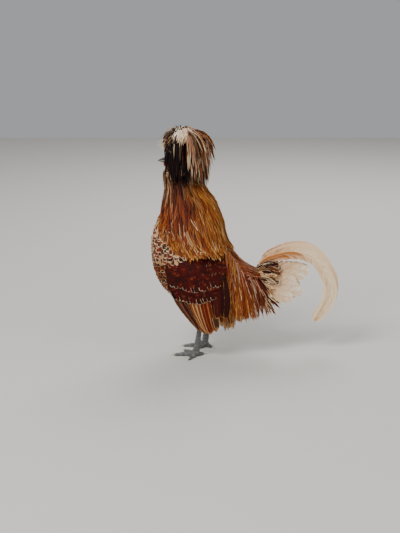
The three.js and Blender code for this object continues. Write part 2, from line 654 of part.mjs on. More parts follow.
const sicklePiece = (side, from, to) => {
  const path = sicklePath(side);
  const last = SICKLE_WIDTHS.length - 1;
  const halfGap = 0.55 * GAP / path.getLength();
  const [start, end] = [from + (from > 0 ? halfGap : 0), to - (to < 1 ? halfGap : 0)];
  const upper = [];
  const lower = [];
  fractions(6).map((f) => THREE.MathUtils.lerp(start, end, f)).forEach((t) => {
    const onwards = path.getTangent(t);
    const outward = new THREE.Vector3(0, side, 0);
    const across = new THREE.Vector3().crossVectors(onwards, outward).normalize();
    const normal = new THREE.Vector3().crossVectors(across, onwards).normalize();
    const width = along(SICKLE_WIDTHS.map((w, i) => [i / last, w]), t);
    const row = [-0.5, 0, 0.5].map((f) => path.getPoint(t)
      .addScaledVector(across, f * width)
      .addScaledVector(normal, f === 0 ? SICKLE_RIDGE : 0));
    upper.push(row.map((p) => p.clone().addScaledVector(normal, SICKLE_THICKNESS / 2)));
    lower.push(row.map((p) => p.clone().addScaledVector(normal, -SICKLE_THICKNESS / 2)));
  });
  return solidOf(slab(upper, lower));
};

// Legs

// A scaled limb's section heights: each scute starts flush and ends proud of the next one.
const scuteSteps = (count) => range(count).flatMap((i) => [
  { at: i / count, proud: 0 },
  { at: (i + 0.9) / count, proud: 1 },
]).concat({ at: 1, proud: 0 });

const shankSolid = (name, side, growth) => {
  const sections = scuteSteps(SHANK.scutes).map(({ at, proud }) => {
    const z = THREE.MathUtils.lerp(SHANK.top, SHANK.bottom, at);
    const narrowing = SHANK.waist * Math.sin(Math.PI * Math.min(at * 1.25, 1)) + SHANK.taper * at;
    const swell = SHANK.hockSwell - narrowing;
    const radius = SHANK.radius * swell + growth;
    const centre = new THREE.Vector3(FOOT_X[name] + SHANK.lean * (1 - at), side * FOOT_SPREAD, z);
    return range(SHANK.sides).map((i) => {
      const angle = (i / SHANK.sides) * 2 * Math.PI;
      const rise = Math.cos(angle) > 0.2 ? proud * SHANK.scuteRise : 0;
      const reach = radius + rise;
      return centre.clone().add(new THREE.Vector3(
        -Math.cos(angle) * reach, Math.sin(angle) * reach * SHANK.flatness, 0,
      ));
    });
  });
  return solidOf(loft(sections));
};

const thighSolid = (name, side) => solidOf(loft(THIGH_STATIONS.map((s) => ring(
  new THREE.Vector3(FOOT_X[name] + s.x, side * FOOT_SPREAD, s.z),
  new THREE.Vector3(s.radius, 0, 0), new THREE.Vector3(0, s.radius * THIGH_FLATNESS, 0), 12,
))));

const toeDirection = (side, heading) => {
  const angle = THREE.MathUtils.degToRad(heading);
  return new THREE.Vector3(-Math.cos(angle), side * Math.sin(angle), 0);
};

const soleCentre = (name, side) => new THREE.Vector3(FOOT_X[name], side * FOOT_SPREAD, 0);

const toeSolid = (name, side, { heading, length, scutes }) => {
  const direction = toeDirection(side, heading);
  const across = new THREE.Vector3(-direction.y, direction.x, 0);
  const sections = scuteSteps(scutes).map(({ at, proud }) => {
    const centre = soleCentre(name, side).addScaledVector(direction, length * at);
    const halfWidth = THREE.MathUtils.lerp(TOE.rootHalfWidth, TOE.endHalfWidth, at);
    const height = THREE.MathUtils.lerp(TOE.rootHeight, TOE.endHeight, at);
    return range(TOE.sides).map((i) => {
      const angle = ((i + 0.5) / TOE.sides) * 2 * Math.PI;
      const rise = Math.sin(angle);
      const point = centre.clone().addScaledVector(across, Math.cos(angle) * halfWidth);
      point.z = rise < -0.5 ? 0 : (rise + 1) / 2 * height + (rise > 0.5 ? proud * TOE.scuteRise : 0);
      return point;
    });
  });
  return solidOf(loft(sections));
};

const clawSolid = (name, side, { heading, length }) => {
  const direction = toeDirection(side, heading);
  const start = soleCentre(name, side).addScaledVector(direction, length + GAP);
  const across = new THREE.Vector3(-direction.y, direction.x, 0);
  const sections = fractions(4).map((t) => {
    const centre = start.clone().addScaledVector(direction, CLAW.length * t);
    centre.z = CLAW.rise + CLAW.arch * Math.sin(Math.PI * t) - CLAW.bend * t * t;
    const size = CLAW.radius * (1 - CLAW.taper * t);
    const sideways = across.clone().multiplyScalar(size * CLAW.flatness);
    return ring(centre, new THREE.Vector3(0, 0, size), sideways, 5);
  });
  return solidOf(loft(sections));
};

const footPad = (name, side) => ellipsoid(
  soleCentre(name, side).setZ(FOOT_PAD.height), vector(FOOT_PAD.radii), 0, 12, 8,
).trimByPlane([0, 0, 1], 0).trimByPlane([0, 0, -1], -(SHANK.bottom - GAP));

const footSolid = (name, side) => joined([
  footPad(name, side), ...TOES.map((toe) => toeSolid(name, side, toe)),
]);

const spurSolid = (name, side) => {
  const lean = SHANK.lean * (SPUR.z - SHANK.bottom) / (SHANK.top - SHANK.bottom);
  const start = soleCentre(name, side).add(new THREE.Vector3(lean, 0, SPUR.z));
  const direction = new THREE.Vector3(SPUR.back, -side * SPUR.inwards, SPUR.up).normalize();
  const across = new THREE.Vector3(-direction.y, direction.x, 0).normalize();
  const sections = fractions(4).map((t) => {
    const centre = start.clone().addScaledVector(direction, (SHANK.radius + SPUR.length) * t);
    const size = SPUR.radius * (1 - SPUR.taper * t);
    return ring(centre, new THREE.Vector3(0, 0, size), across.clone().multiplyScalar(size), 8);
  });
  return solidOf(loft(sections));
};

// Assembly

const SIDES = [{ name: 'left', side: -1 }, { name: 'right', side: 1 }];
const less = (solid, ...cutters) => cutters.reduce((rest, cutter) => rest.subtract(cutter), solid);

const skullCutter = skullSolid(GAP);
const beakCutter = upperMandible(GAP).add(lowerMandible(GAP));
const wingCutters = SIDES.map(({ side }) => (
  wingCore(side, WING_CORE.drop + COVERT.clearance, CUT_GROWTH)
));
const tailCutters = SIDES.map(({ side }) => tailSolid(side, GAP));
const torsoCutter = bodySolid(CUT_GROWTH).trimByPlane([-1, 0, 0], -RUMP_PLANE_X - GAP);
const combSolid = (growth) => headBulb(COMB_HORN, -1, growth).add(headBulb(COMB_HORN, 1, growth))
  .add(headBulb(COMB_BRIDGE, 1, growth));

addNode('torso', torso, COLOURS.breast);
const rump = joined([rumpCore, ...saddle(-1), ...saddle(1)]);
addNode('rump', less(rump, torsoCutter), COLOURS.saddle);
const neck = joined([neckCore(0), ...hackles]);
addNode('neck', less(neck, bodyCutter, ...wingCutters, skullCutter), COLOURS.hackle);
const head = joined([skullSolid(0), eyelid(-1), eyelid(1)]);
addNode('head', less(head, eyeSolid(-1, GAP), eyeSolid(1, GAP), mouthSlit()), COLOURS.skin, 0.6);
const nostrils = [-1, 1].map((side) => headBulb(NOSTRIL, side, 0, 8, 5));
addNode('beak_upper', less(upperMandible(0), skullCutter, ...nostrils), COLOURS.beak, 0.4);
addNode('beak_lower', less(lowerMandible(0), skullCutter), COLOURS.beak, 0.4);
addNode('comb', less(combSolid(0), skullCutter, beakCutter), COLOURS.skin, 0.55);
const wattleCutters = SIDES.map(({ side }) => headBulb(WATTLE, side, GAP));
const crest = less(
  joined([crestCore(), ...crestFeathers]),
  skullCutter, neckCore(GAP), beakCutter, combSolid(GAP), ...wattleCutters,
);
addNode('crest', crest, COLOURS.crest);

SIDES.forEach(({ name, side }) => {
  addNode(`eye_${name}`, eyeSolid(side, 0), COLOURS.eye, 0.15);
  addNode(`wattle_${name}`, less(headBulb(WATTLE, side), skullCutter, beakCutter), COLOURS.skin, 0.55);
  addNode(`earlobe_${name}`, less(headBulb(EARLOBE, side), skullCutter), COLOURS.lobe, 0.6);
  addNode(`wing_${name}`, less(wingSolid(side), bodyCutter), COLOURS.wing);
  addNode(`tail_${name}`, less(tailSolid(side, 0), bodyCutter), COLOURS.tail);
  range(SICKLE_SPLITS.length - 1).forEach((k) => {
    const piece = sicklePiece(side, SICKLE_SPLITS[k], SICKLE_SPLITS[k + 1]);
    addNode(`sickle_${name}_${k + 1}`, less(piece, ...tailCutters), COLOURS.tail);
  });
  addNode(`thigh_${name}`, less(thighSolid(name, side), bodyCutter), COLOURS.thigh);
  addNode(`shank_${name}`, shankSolid(name, side, 0), COLOURS.leg, 0.6);
  addNode(`spur_${name}`, less(spurSolid(name, side), shankSolid(name, side, GAP)), COLOURS.claw, 0.4);
  addNode(`foot_${name}`, footSolid(name, side), COLOURS.leg, 0.6);
  TOES.forEach((toe) => addNode(`claw_${name}_${toe.name}`, clawSolid(name, side, toe), COLOURS.claw, 0.4));
});

group.position.x = -CENTRE_X;

export default group;
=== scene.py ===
"""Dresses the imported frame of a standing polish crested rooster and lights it."""

import logging
import math
from collections import defaultdict
from collections.abc import Callable, Sequence
from dataclasses import dataclass
from enum import Enum

import bmesh
import bpy
import numpy as np
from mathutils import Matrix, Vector, noise
from mathutils.bvhtree import BVHTree
from mathutils.kdtree import KDTree


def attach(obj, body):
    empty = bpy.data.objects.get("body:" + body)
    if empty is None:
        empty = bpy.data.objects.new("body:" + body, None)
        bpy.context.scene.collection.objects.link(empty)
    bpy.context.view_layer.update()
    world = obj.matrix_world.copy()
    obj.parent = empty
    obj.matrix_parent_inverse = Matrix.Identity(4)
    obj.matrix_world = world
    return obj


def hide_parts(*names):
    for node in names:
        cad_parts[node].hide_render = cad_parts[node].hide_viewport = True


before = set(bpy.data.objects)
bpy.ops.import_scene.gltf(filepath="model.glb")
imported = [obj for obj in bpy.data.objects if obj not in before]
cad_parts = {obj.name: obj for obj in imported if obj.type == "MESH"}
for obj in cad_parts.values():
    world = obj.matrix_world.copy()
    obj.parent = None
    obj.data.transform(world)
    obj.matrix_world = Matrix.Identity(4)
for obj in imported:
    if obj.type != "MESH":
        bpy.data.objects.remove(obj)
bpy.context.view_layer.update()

LOG = logging.getLogger("rooster")
MM = 0.001
CENTRE_X = 84.0
SEED = 20251
FULL_TURN = 2 * math.pi
GOLDEN_ANGLE = 2.399963
HEAD_YAW = math.radians(22)
SIDES = {"left": -1, "right": 1}
TO_THE_AXIS = -200.0
GRID = 97
Array = np.ndarray
Values = Array | float
Pair = tuple[float, float]
Triple = tuple[float, float, float]
Rng = np.random.Generator
Lines = tuple[Array, Array]
Place = Callable[[Array, Array], Array]
Tones = Callable[[Rng, Array, Array], tuple[Array, Array]]
Shares = dict[str, float]
Stations = tuple[tuple[float, ...], ...]
Material = bpy.types.Material
Mesh = bpy.types.Mesh
Thing = bpy.types.Object


# Colours

class Tone(Enum):
    """The named colours of the plumage, skin and horn, in sRGB."""

    BLACK = "#0d080b"
    SOOT = "#1a0a0a"
    MAROON = "#2c0c09"
    OXBLOOD = "#430a04"
    MAHOGANY = "#45120a"
    RUSSET = "#682410"
    RUST = "#7b3812"
    CHESTNUT = "#964a14"
    TAN = "#b06c2c"
    GOLD = "#c18432"
    STRAW = "#d6ab62"
    UMBER = "#291812"
    BROWN = "#4c2f1e"
    ASH = "#5e4c40"
    BUFF = "#bd9160"
    CREAM = "#e0c79c"
    ROSE = "#d0a083"
    PEACH = "#d9a06a"
    IVORY = "#f5d9b2"
    WHITE = "#f2e9da"
    COMB_RED = "#96090e"
    FACE_RED = "#7a1614"
    LOBE_WHITE = "#d6c9c0"
    BEAK_DARK = "#231e1d"
    BEAK_TIP = "#5c5249"
    SLATE = "#5a5958"
    SLATE_PALE = "#95938e"
    CLAW_PALE = "#b9b2a2"
    IRIS = "#a13c10"
    FLOOR = "#c9c6c0"

    @property
    def rgb(self) -> Array:
        """The colour in linear light."""
        s = np.array([int(self.value[i:i + 2], 16) for i in (1, 3, 5)]) / 255
        return np.where(s <= 0.04045, s / 12.92, ((s + 0.055) / 1.055) ** 2.4)

    @property
    def rgba(self) -> tuple[float, ...]:
        """The colour in linear light with full alpha."""
        return (*self.rgb, 1.0)


def draws(part: int) -> Rng:
    """The random draws of one part of the bird."""
    return np.random.default_rng(SEED + part)


def pick(rng: Rng, count: int, **shares: float) -> Array:
    """Draws one tone for each feather.

    Args:
        rng: the draws.
        count: how many feathers.
        shares: how often each tone comes, by its name.

    Returns:
        Linear colours, one row a feather.
    """
    weights = np.array(list(shares.values()), float)
    tones = np.array([Tone[name].rgb for name in shares])
    return tones[rng.choice(len(tones), count, p=weights / weights.sum())]


def mixed(under: Array, over: Array, share: Array) -> Array:
    """Colours part of the way, by each feather's share, from one set to another."""
    return under + (over - under) * np.clip(share, 0, 1)[:, None]


def rise(x: Array, low: float, high: float) -> Array:
    """A smooth step from 0 at low to 1 at high."""
    t = np.clip((x - low) / (high - low), 0, 1)
    return t * t * (3 - 2 * t)


# Curves and faces that the feathers follow

def curve(points: Array, t: Array) -> Array:
    """Follows a centripetal curve through points.

    Args:
        points: (..., stations, size), several curves at once if wanted.
        t: where on the curve, from 0 to 1.

    Returns:
        (..., len(t), size).
    """
    p = np.asarray(points, float)
    first = 2 * p[..., :1, :] - p[..., 1:2, :]
    last = 2 * p[..., -1:, :] - p[..., -2:-1, :]
    p = np.concatenate([first, p, last], axis=-2)
    place = np.asarray(t, float) * (p.shape[-2] - 3)
    i = np.clip(place.astype(int), 0, p.shape[-2] - 4)
    w = (place - i)[:, None]
    a, b, c, d = (p[..., i + k, :] for k in range(4))
    spans = [np.maximum(np.linalg.norm(r - q, axis=-1, keepdims=True), 1e-4) ** 0.5
             for q, r in ((a, b), (b, c), (c, d))]
    start = ((b - a) / spans[0] - (c - a) / (spans[0] + spans[1]) + (c - b) / spans[1]) * spans[1]
    end = ((c - b) / spans[1] - (d - b) / (spans[1] + spans[2]) + (d - c) / spans[2]) * spans[1]
    return (b + start * w + (3 * (c - b) - 2 * start - end) * w ** 2 + (2 * (b - c) + start + end) * w ** 3)


def joined(*parts: Array) -> Array:
    """Parts of equal shape as the last axis of one array."""
    return np.stack(parts, axis=-1)


def unit(vectors: Array) -> Array:
    """The vectors at length 1."""
    return vectors / np.maximum(np.linalg.norm(vectors, axis=-1, keepdims=True), 1e-9)


def level(angle: Array) -> Array:
    """Level directions, forwards at angle 0 and to the right side at a quarter turn."""
    return joined(-np.cos(angle), np.sin(angle), np.zeros_like(angle))


def disc(angle: Array, reach: Values, ahead: int = 1) -> Array:
    """Places round the middle of the skin's unwrap."""
    return joined(0.5 + ahead * reach * np.cos(angle), 0.5 + reach * np.sin(angle))


def round_about(front: float, side: float, back: float, angle: Array, sharp: int = 2) -> Array:
    """A size that turns from front, over the sides, to back; the front is at angle 0."""
    turn = np.cos(angle)
    return side + np.where(turn > 0, (front - side) * turn ** sharp, (back - side) * turn ** 2)


@dataclass
class Surface:
    """A face of the bird as a fine grid of points, u down its rows and v along them."""

    points: Array
    closed: bool = False

    def __post_init__(self) -> None:
        """Works out the normals and the real lengths of a step in u and in v."""
        rows, columns = self.points.shape[:2]
        du, dv = np.gradient(self.points, axis=0), np.gradient(self.points, axis=1)
        normals = unit(np.cross(du, dv))
        middle = self.points.reshape(-1, 3).mean(axis=0) * (1, float(self.closed), 1)
        self.normals = normals * np.sign(((self.points - middle) * normals).sum())
        lengths = [np.linalg.norm(du, axis=-1) * (rows - 1), np.linalg.norm(dv, axis=-1) * (columns - 1)]
        self.metric = np.maximum(np.stack(lengths, axis=-1), 4.0)

    @classmethod
    def wrapped(cls, place: Place, rings: int = GRID, sides: int = 129) -> "Surface":
        """Samples a form that closes round its axis."""
        t, angle = np.meshgrid(np.linspace(0, 1, rings), np.linspace(0, FULL_TURN, sides), indexing="ij")
        return cls(place(t, angle), True)

    def room(self, roots: Array) -> Array:
        """How far each root is from the surface's lower end, in mm."""
        return (1.0 - roots[:, 0]) * self.read(self.metric, roots[:, 0], roots[:, 1])[:, 0]

    def read(self, grid: Array, u: Array, v: Array) -> Array:
        """Reads a grid at u, v, in a straight line past the edges.

        Args:
            grid: values at the surface's grid points.
            u: place down the rows.
            v: place along the rows.

        Returns:
            The values there.
        """
        if self.closed:
            v = v % 1.0
        rows, columns = grid.shape[:2]
        x, y = u * (rows - 1), v * (columns - 1)
        i = np.clip(np.floor(x).astype(int), 0, rows - 2)
        j = np.clip(np.floor(y).astype(int), 0, columns - 2)
        fx, fy = (x - i)[:, None], (y - j)[:, None]
        upper = grid[i, j] * (1 - fy) + grid[i, j + 1] * fy
        lower = grid[i + 1, j] * (1 - fy) + grid[i + 1, j + 1] * fy
        return upper * (1 - fx) + lower * fx

    def rooted(self, rng: Rng, down: Triple, across: Triple) -> Array:
        """Spreads roots in staggered rows over a part of the surface.

        Args:
            rng: the draws.
            down: first u, last u and the rows' distance in mm.
            across: first v, last v and the roots' distance in mm.

        Returns:
            (feathers, 2) places u, v.
        """
        middle = np.full(1, (across[0] + across[1]) / 2)
        span = self.read(self.metric, np.full(1, (down[0] + down[1]) / 2), middle)[0, 0]
        rows = max(2, round((down[1] - down[0]) * span / down[2]) + 1)
        places = []
        for k, u in enumerate(np.linspace(down[0], down[1], rows)):
            v = np.linspace(across[0], across[1], 40)
            width = self.read(self.metric, np.full(40, u), v)[:, 1].mean() * (across[1] - across[0])
            count = max(2, round(width / across[2]))
            steps = (np.arange(count) + 0.5 * (k % 2) + rng.uniform(-0.22, 0.22, count)) / count
            row = across[0] + (across[1] - across[0]) * steps
            rough = rng.uniform(-0.3, 0.3, count) * (down[1] - down[0]) / (rows - 1)
            places.append(joined(u + rough, row))
        return np.concatenate(places)


def swept(stations: Sequence[Stations]) -> Array:
    """The fine grid of a face given as rows of a few points in mm.

    Args:
        stations: the rows of points, in order.

    Returns:
        The points of the grid.
    """
    steps = np.linspace(0, 1, GRID)
    columns = curve(np.swapaxes(np.asarray(stations, float), 0, 1), steps)
    return curve(np.swapaxes(columns, 0, 1), steps)


# Shader graphs

@dataclass(frozen=True)
class Wire:
    """A socket of a shader graph with arithmetic on its value."""

    tree: bpy.types.NodeTree
    socket: bpy.types.NodeSocket

    def math(self, operation: str, *others: "Wire | float") -> "Wire":
        """Adds a Math node.

        Args:
            operation: the node's operation.
            others: its second and third values.

        Returns:
            The node's result.
        """
        node = self.tree.nodes.new("ShaderNodeMath")
        node.operation = operation
        for place, value in enumerate((self, *others)):
            if isinstance(value, Wire):
                self.tree.links.new(value.socket, node.inputs[place])
            else:
                node.inputs[place].default_value = value
        return Wire(self.tree, node.outputs[0])

    def __add__(self, other: "Wire | float") -> "Wire":
        """self + other."""
        return self.math("ADD", other)

    def __sub__(self, other: "Wire | float") -> "Wire":
        """self - other."""
        return self.math("SUBTRACT", other)

    def __rsub__(self, other: float) -> "Wire":
        """other - self."""
        return self.math("MULTIPLY", -1.0).math("ADD", other)

    def __mul__(self, other: "Wire | float") -> "Wire":
        """self * other."""
        return self.math("MULTIPLY", other)

    def __pow__(self, other: float) -> "Wire":
        """self ** other."""
        return self.math("POWER", other)

    __radd__ = __add__
    __rmul__ = __mul__


class Graph:
    """A material under construction, with its shader node."""

    def __init__(self, name: str, **constants: float | tuple[float, ...]) -> None:
        """Starts a material.

        Args:
            name: the material's name.
            constants: values for the shader's own sockets, underscores for spaces.
        """
        self.material = bpy.data.materials.new(name)
        self.material.use_nodes = True
        self.tree = self.material.node_tree
        self.shader = self.tree.nodes["Principled BSDF"]
        for key, value in constants.items():
            self.shader.inputs[key.replace("_", " ")].default_value = value

    def node(self, kind: str, settings: dict[str, object], inputs: dict[str | int, object],
             output: str | int = 0) -> Wire:
        """Adds any node.

        Args:
            kind: the node's type after "ShaderNode".
            settings: its options, and a ramp's stops as (place, colour) pairs.
            inputs: values or wires by socket.
            output: which output to hand back.

        Returns:
            The output as a wire.
        """
        node = self.tree.nodes.new("ShaderNode" + kind)
        for key, value in settings.items():
            if key == "stops":
                ramp = node.color_ramp.elements
                while len(ramp) < len(value):
                    ramp.new(0.5)
                for element, (place, colour) in zip(ramp, value):
                    element.position, element.color = place, colour
            else:
                setattr(node, key, value)
        for key, value in inputs.items():
            if isinstance(value, Wire):
                self.tree.links.new(value.socket, node.inputs[key])
            else:
                node.inputs[key].default_value = value
        return Wire(self.tree, node.outputs[output])

    def step(self, value: Wire, low: Wire | float, high: Wire | float) -> Wire:
        """A smooth step of a value from 0 at low to 1 at high."""
        return self.node("MapRange", {"interpolation_type": "SMOOTHSTEP"},
                         {"Value": value, "From Min": low, "From Max": high})

    def mix(self, share: Wire | float, under: object, over: object, blend: str = "MIX") -> Wire:
        """A colour between two colours."""
        return self.node("Mix", {"data_type": "RGBA", "blend_type": blend}, {0: share, 6: under, 7: over}, 2)

    def noise(self, vector: Wire, scale: float, detail: float = 3.0, rough: float = 0.55) -> Wire:
        """Noise from 0 to 1 at a place."""
        return self.node("TexNoise", {}, {"Vector": vector, "Scale": scale, "Detail": detail,
                                          "Roughness": rough})

    def spot(self) -> Wire:
        """The place on the object."""
        return self.node("TexCoord", {}, {}, "Object")

    def attribute(self, name: str, output: str = "Color") -> Wire:
        """One of the mesh's attributes."""
        return self.node("Attribute", {"attribute_name": name}, {}, output)

    def parts(self, vector: Wire) -> list[Wire]:
        """A vector's three parts."""
        return [self.node("SeparateXYZ", {}, {0: vector}, axis) for axis in "XYZ"]

    def vector(self, *parts: Wire | float) -> Wire:
        """A vector of three parts."""
        return self.node("CombineXYZ", {}, dict(enumerate(parts)))

    def cells(self, vector: Wire, scale: float, feature: str = "F1") -> Wire:
        """Distances in a pattern of cells."""
        return self.node("TexVoronoi", {"feature": feature}, {"Vector": vector, "Scale": scale}, "Distance")

    def toned(self, colour: Wire, value: Wire, **shifts: Wire | float) -> Wire:
        """A colour with another brightness, and a hue or saturation where given."""
        return self.node("HueSaturation", {}, {"Color": colour, "Value": value, **shifts})

    def feed(self, **inputs: Wire) -> None:
        """Links wires to the shader's sockets, underscores for spaces."""
        for key, value in inputs.items():
            self.tree.links.new(value.socket, self.shader.inputs[key.replace("_", " ")])

    def bump(self, height: Wire, strength: float, distance: float) -> None:
        """Feeds a height to the shader's normal."""
        self.feed(Normal=self.node("Bump", {}, {"Height": height, "Strength": strength,
                                                "Distance": distance}))


@dataclass(frozen=True)
class PlumageFinish:
    """Feathers: a ground, an edge and a shaft colour of each feather's own, and its barbs per mm."""

    name: str
    barbs: float = 1.5
    roughness: float = 0.62
    mottle: float = 0.5
    fade: float = 0.0
    ribs: float = 0.05
    soft: float = 0.0
    variety: float = 0.34

    def make(self) -> Material:
        """Builds the material.

        Returns:
            The material.
        """
        g = Graph(self.name, Specular_IOR_Level=0.08)
        across, along, _ = g.parts(g.node("UVMap", {"uv_map": "Vane"}, {}))
        chance, size = g.attribute("Chance", "Fac"), g.attribute("Length", "Fac")
        lace, tip, shaft = g.parts(g.attribute("Marks", "Vector"))
        off = ((across - 0.5) * 2.0).math("ABSOLUTE")
        shift = g.vector(across * 3.0 + chance * 71.0, along * 9.0, chance * 37.0)
        grain = g.noise(shift, 1.0, 4.0, 0.62) - 0.5
        side = g.step(off + grain * 0.34, 1.0 - lace * (1.12 + self.soft),
                      1.12 - lace * 0.92 + 0.1 * self.soft)
        end = g.step(along + grain * 0.16 - off * off * 0.06, 0.97 - tip, 1.03 - tip)
        border = side.math("MAXIMUM", end).math("MAXIMUM", g.step(along + grain * 0.3, 0.15, 0.9) * self.fade)
        streak = 1.0 - g.step(off + grain * 0.3, 0.0, shaft + 0.001)
        streak = streak * (1.0 - g.step(along, 0.7, 1.0)) * g.step(shaft, 0.01, 0.03) * 0.8
        colour = g.mix(border, g.attribute("Ground"), g.attribute("Edge"))
        colour = g.mix(streak, colour, g.attribute("Shaft"))
        barb = ((along * size * self.barbs - off * 5.0 + grain * 1.5) * FULL_TURN).math("SINE")
        fine = g.vector(across * 2.0 + chance * 13.0, along * size * 1.3 - off * 9.0, 0.0)
        fibre = g.noise(fine, 1.0, 2.0, 0.6)
        value = 1.0 + (fibre - 0.5) * self.mottle + (chance - 0.5) * self.variety + barb * self.ribs
        colour = g.toned(colour, value, Saturation=0.98, Hue=0.5 + (chance - 0.5) * 0.012)
        g.feed(Base_Color=colour, Roughness=(fibre - 0.5) * 0.2 + self.roughness)
        g.bump(barb * 0.35 + fibre, 0.35, 0.0004)
        return g.material


@dataclass(frozen=True)
class SkinFinish:
    """The skin under the coat, marked like the feathers over it, with their follicles."""

    name: str = "feathered_skin"

    def make(self) -> Material:
        """Builds the material.

        Returns:
            The material.
        """
        g = Graph(self.name, Specular_IOR_Level=0.25)
        spot, bare = g.spot(), g.attribute("Bare", "Fac")
        fine = g.noise(spot, 420.0, 4.0)
        mask = g.step(g.cells(spot, 150.0) + (fine - 0.5) * 0.4, 0.3, 0.6)
        plumed = g.mix(mask * 0.6, g.attribute("Ground"), g.attribute("Edge"))
        papillae = g.cells(spot, 900.0)
        flesh = g.mix(papillae, Tone.COMB_RED.rgba, Tone.FACE_RED.rgba)
        g.feed(Base_Color=g.mix(bare, plumed, flesh), Roughness=0.75 - bare * 0.25 + (fine - 0.5) * 0.2)
        g.bump(papillae * bare * 0.7 + fine * 0.5, 0.6, 0.0006)
        return g.material


@dataclass(frozen=True)
class FleshFinish:
    """Comb, wattles and ear lobes: grainy skin, darker in its folds."""

    name: str
    light: Tone
    dark: Tone
    roughness: float = 0.46

    def make(self) -> Material:
        """Builds the material.

        Returns:
            The material.
        """
        g = Graph(self.name, Subsurface_Weight=0.12, Subsurface_Radius=(0.004, 0.0012, 0.0008))
        spot = g.spot()
        grains = g.cells(spot, 1100.0, "SMOOTH_F1")
        cloud = g.noise(spot, 260.0, 3.0)
        mask = g.step(grains * 0.7 + cloud * 0.6, 0.25, 0.95)
        g.feed(Base_Color=g.mix(mask, self.light.rgba, self.dark.rgba),
               Roughness=(cloud - 0.5) * 0.25 + self.roughness)
        g.bump(1.0 - grains, 0.55, 0.0005)
        return g.material


@dataclass(frozen=True)
class HornFinish:
    """Beak, claws and spurs: growth lines round the horn, paler towards the tip."""

    name: str
    base: Tone
    tip: Tone
    rings: float = 26.0

    def make(self) -> Material:
        """Builds the material.

        Returns:
            The material.
        """
        g = Graph(self.name, Coat_Roughness=0.3, Coat_Weight=0.25)
        _, along, _ = g.parts(g.node("UVMap", {"uv_map": "Span"}, {}))
        cloud = g.noise(g.spot(), 500.0, 4.0)
        line = ((along + (cloud - 0.5) * 0.05) * (self.rings * FULL_TURN)).math("SINE")
        colour = g.mix(g.step(along + (cloud - 0.5) * 0.3, 0.25, 1.0), self.base.rgba, self.tip.rgba)
        colour = g.toned(colour, 1.0 + line * 0.06 + (cloud - 0.5) * 0.5)
        g.feed(Base_Color=colour, Roughness=(cloud - 0.5) * 0.3 + 0.38)
        g.bump(line * 0.12 + cloud, 0.25, 0.0003)
        return g.material


@dataclass(frozen=True)
class ScuteFinish:
    """Legs and toes: slate scutes in front, small scales behind, paler worn rims."""

    name: str
    scutes: float

    def make(self) -> Material:
        """Builds the material.

        Returns:
            The material.
        """
        g = Graph(self.name, Specular_IOR_Level=0.45)
        _, along, _ = g.parts(g.node("UVMap", {"uv_map": "Span"}, {}))
        spot = g.spot()
        cloud = g.noise(spot, 240.0, 4.0)
        step = (along * self.scutes + (cloud - 0.5) * 0.2).math("FRACT")
        rim = g.step(step, 0.82, 0.98)
        groove = 1.0 - g.step(g.cells(spot, 420.0, "DISTANCE_TO_EDGE"), 0.0, 0.12)
        dust = g.noise(spot, 60.0, 5.0)
        colour = g.mix(rim * 0.3 + g.step(dust, 0.45, 0.75) * 0.45, Tone.SLATE.rgba, Tone.SLATE_PALE.rgba)
        colour = g.mix(groove * 0.3, colour, Tone.BEAK_DARK.rgba)
        colour = g.toned(colour, 0.7 + cloud * 0.6)
        g.feed(Base_Color=colour, Roughness=0.55 - rim * 0.12 + (cloud - 0.5) * 0.2)
        g.bump(rim * 0.6 - groove * 0.5 + cloud * 0.4, 0.5, 0.0005)
        return g.material


@dataclass(frozen=True)
class EyeFinish:
    """An eye: a black pupil in an orange iris with a dark rim, under a clear wet coat."""

    name: str
    centre: Triple
    gaze: Triple
    radius: float

    def make(self) -> Material:
        """Builds the material.

        Returns:
            The material.
        """
        g = Graph(self.name, Coat_Weight=1.0, Coat_Roughness=0.03, Roughness=0.25)
        spot = g.spot()
        offset = g.node("VectorMath", {"operation": "SUBTRACT"}, {0: spot, 1: self.centre})
        ahead = g.node("VectorMath", {"operation": "DOT_PRODUCT"}, {0: offset, 1: self.gaze}, "Value")
        off = (1.0 - (ahead * (1 / self.radius)) ** 2.0).math("MAXIMUM", 0.0).math("SQRT")
        fibre = g.noise(spot, 3000.0, 3.0)
        iris = g.node("ValToRGB", {"stops": [(0.0, Tone.BLACK.rgba), (0.3, Tone.BLACK.rgba),
                                             (0.36, Tone.IRIS.rgba), (0.62, Tone.CHESTNUT.rgba),
                                             (0.74, Tone.SOOT.rgba)]}, {0: off + (fibre - 0.5) * 0.06})
        g.feed(Base_Color=iris)
        g.bump(fibre, 0.1, 0.0001)
        return g.material


# Feathers

BAKE_RANGE = (0.002, 0.995)
BAKE_PATCH = 0.003


@dataclass(frozen=True)
class Cut:
    """How a feather's sheet is cut: its outline and its thickness."""

    outline: tuple[Pair, ...]
    columns: int = 2
    rows: int = 5
    thickness: float = 0.3
    camber: float = 0.16
    roll: float = 0.5
    crowd: float = 1.0

    def along(self, share: Array) -> Array:
        """Places along the feather for shares of its rows, which crowd towards the tip."""
        return 1 - (1 - share) ** self.crowd


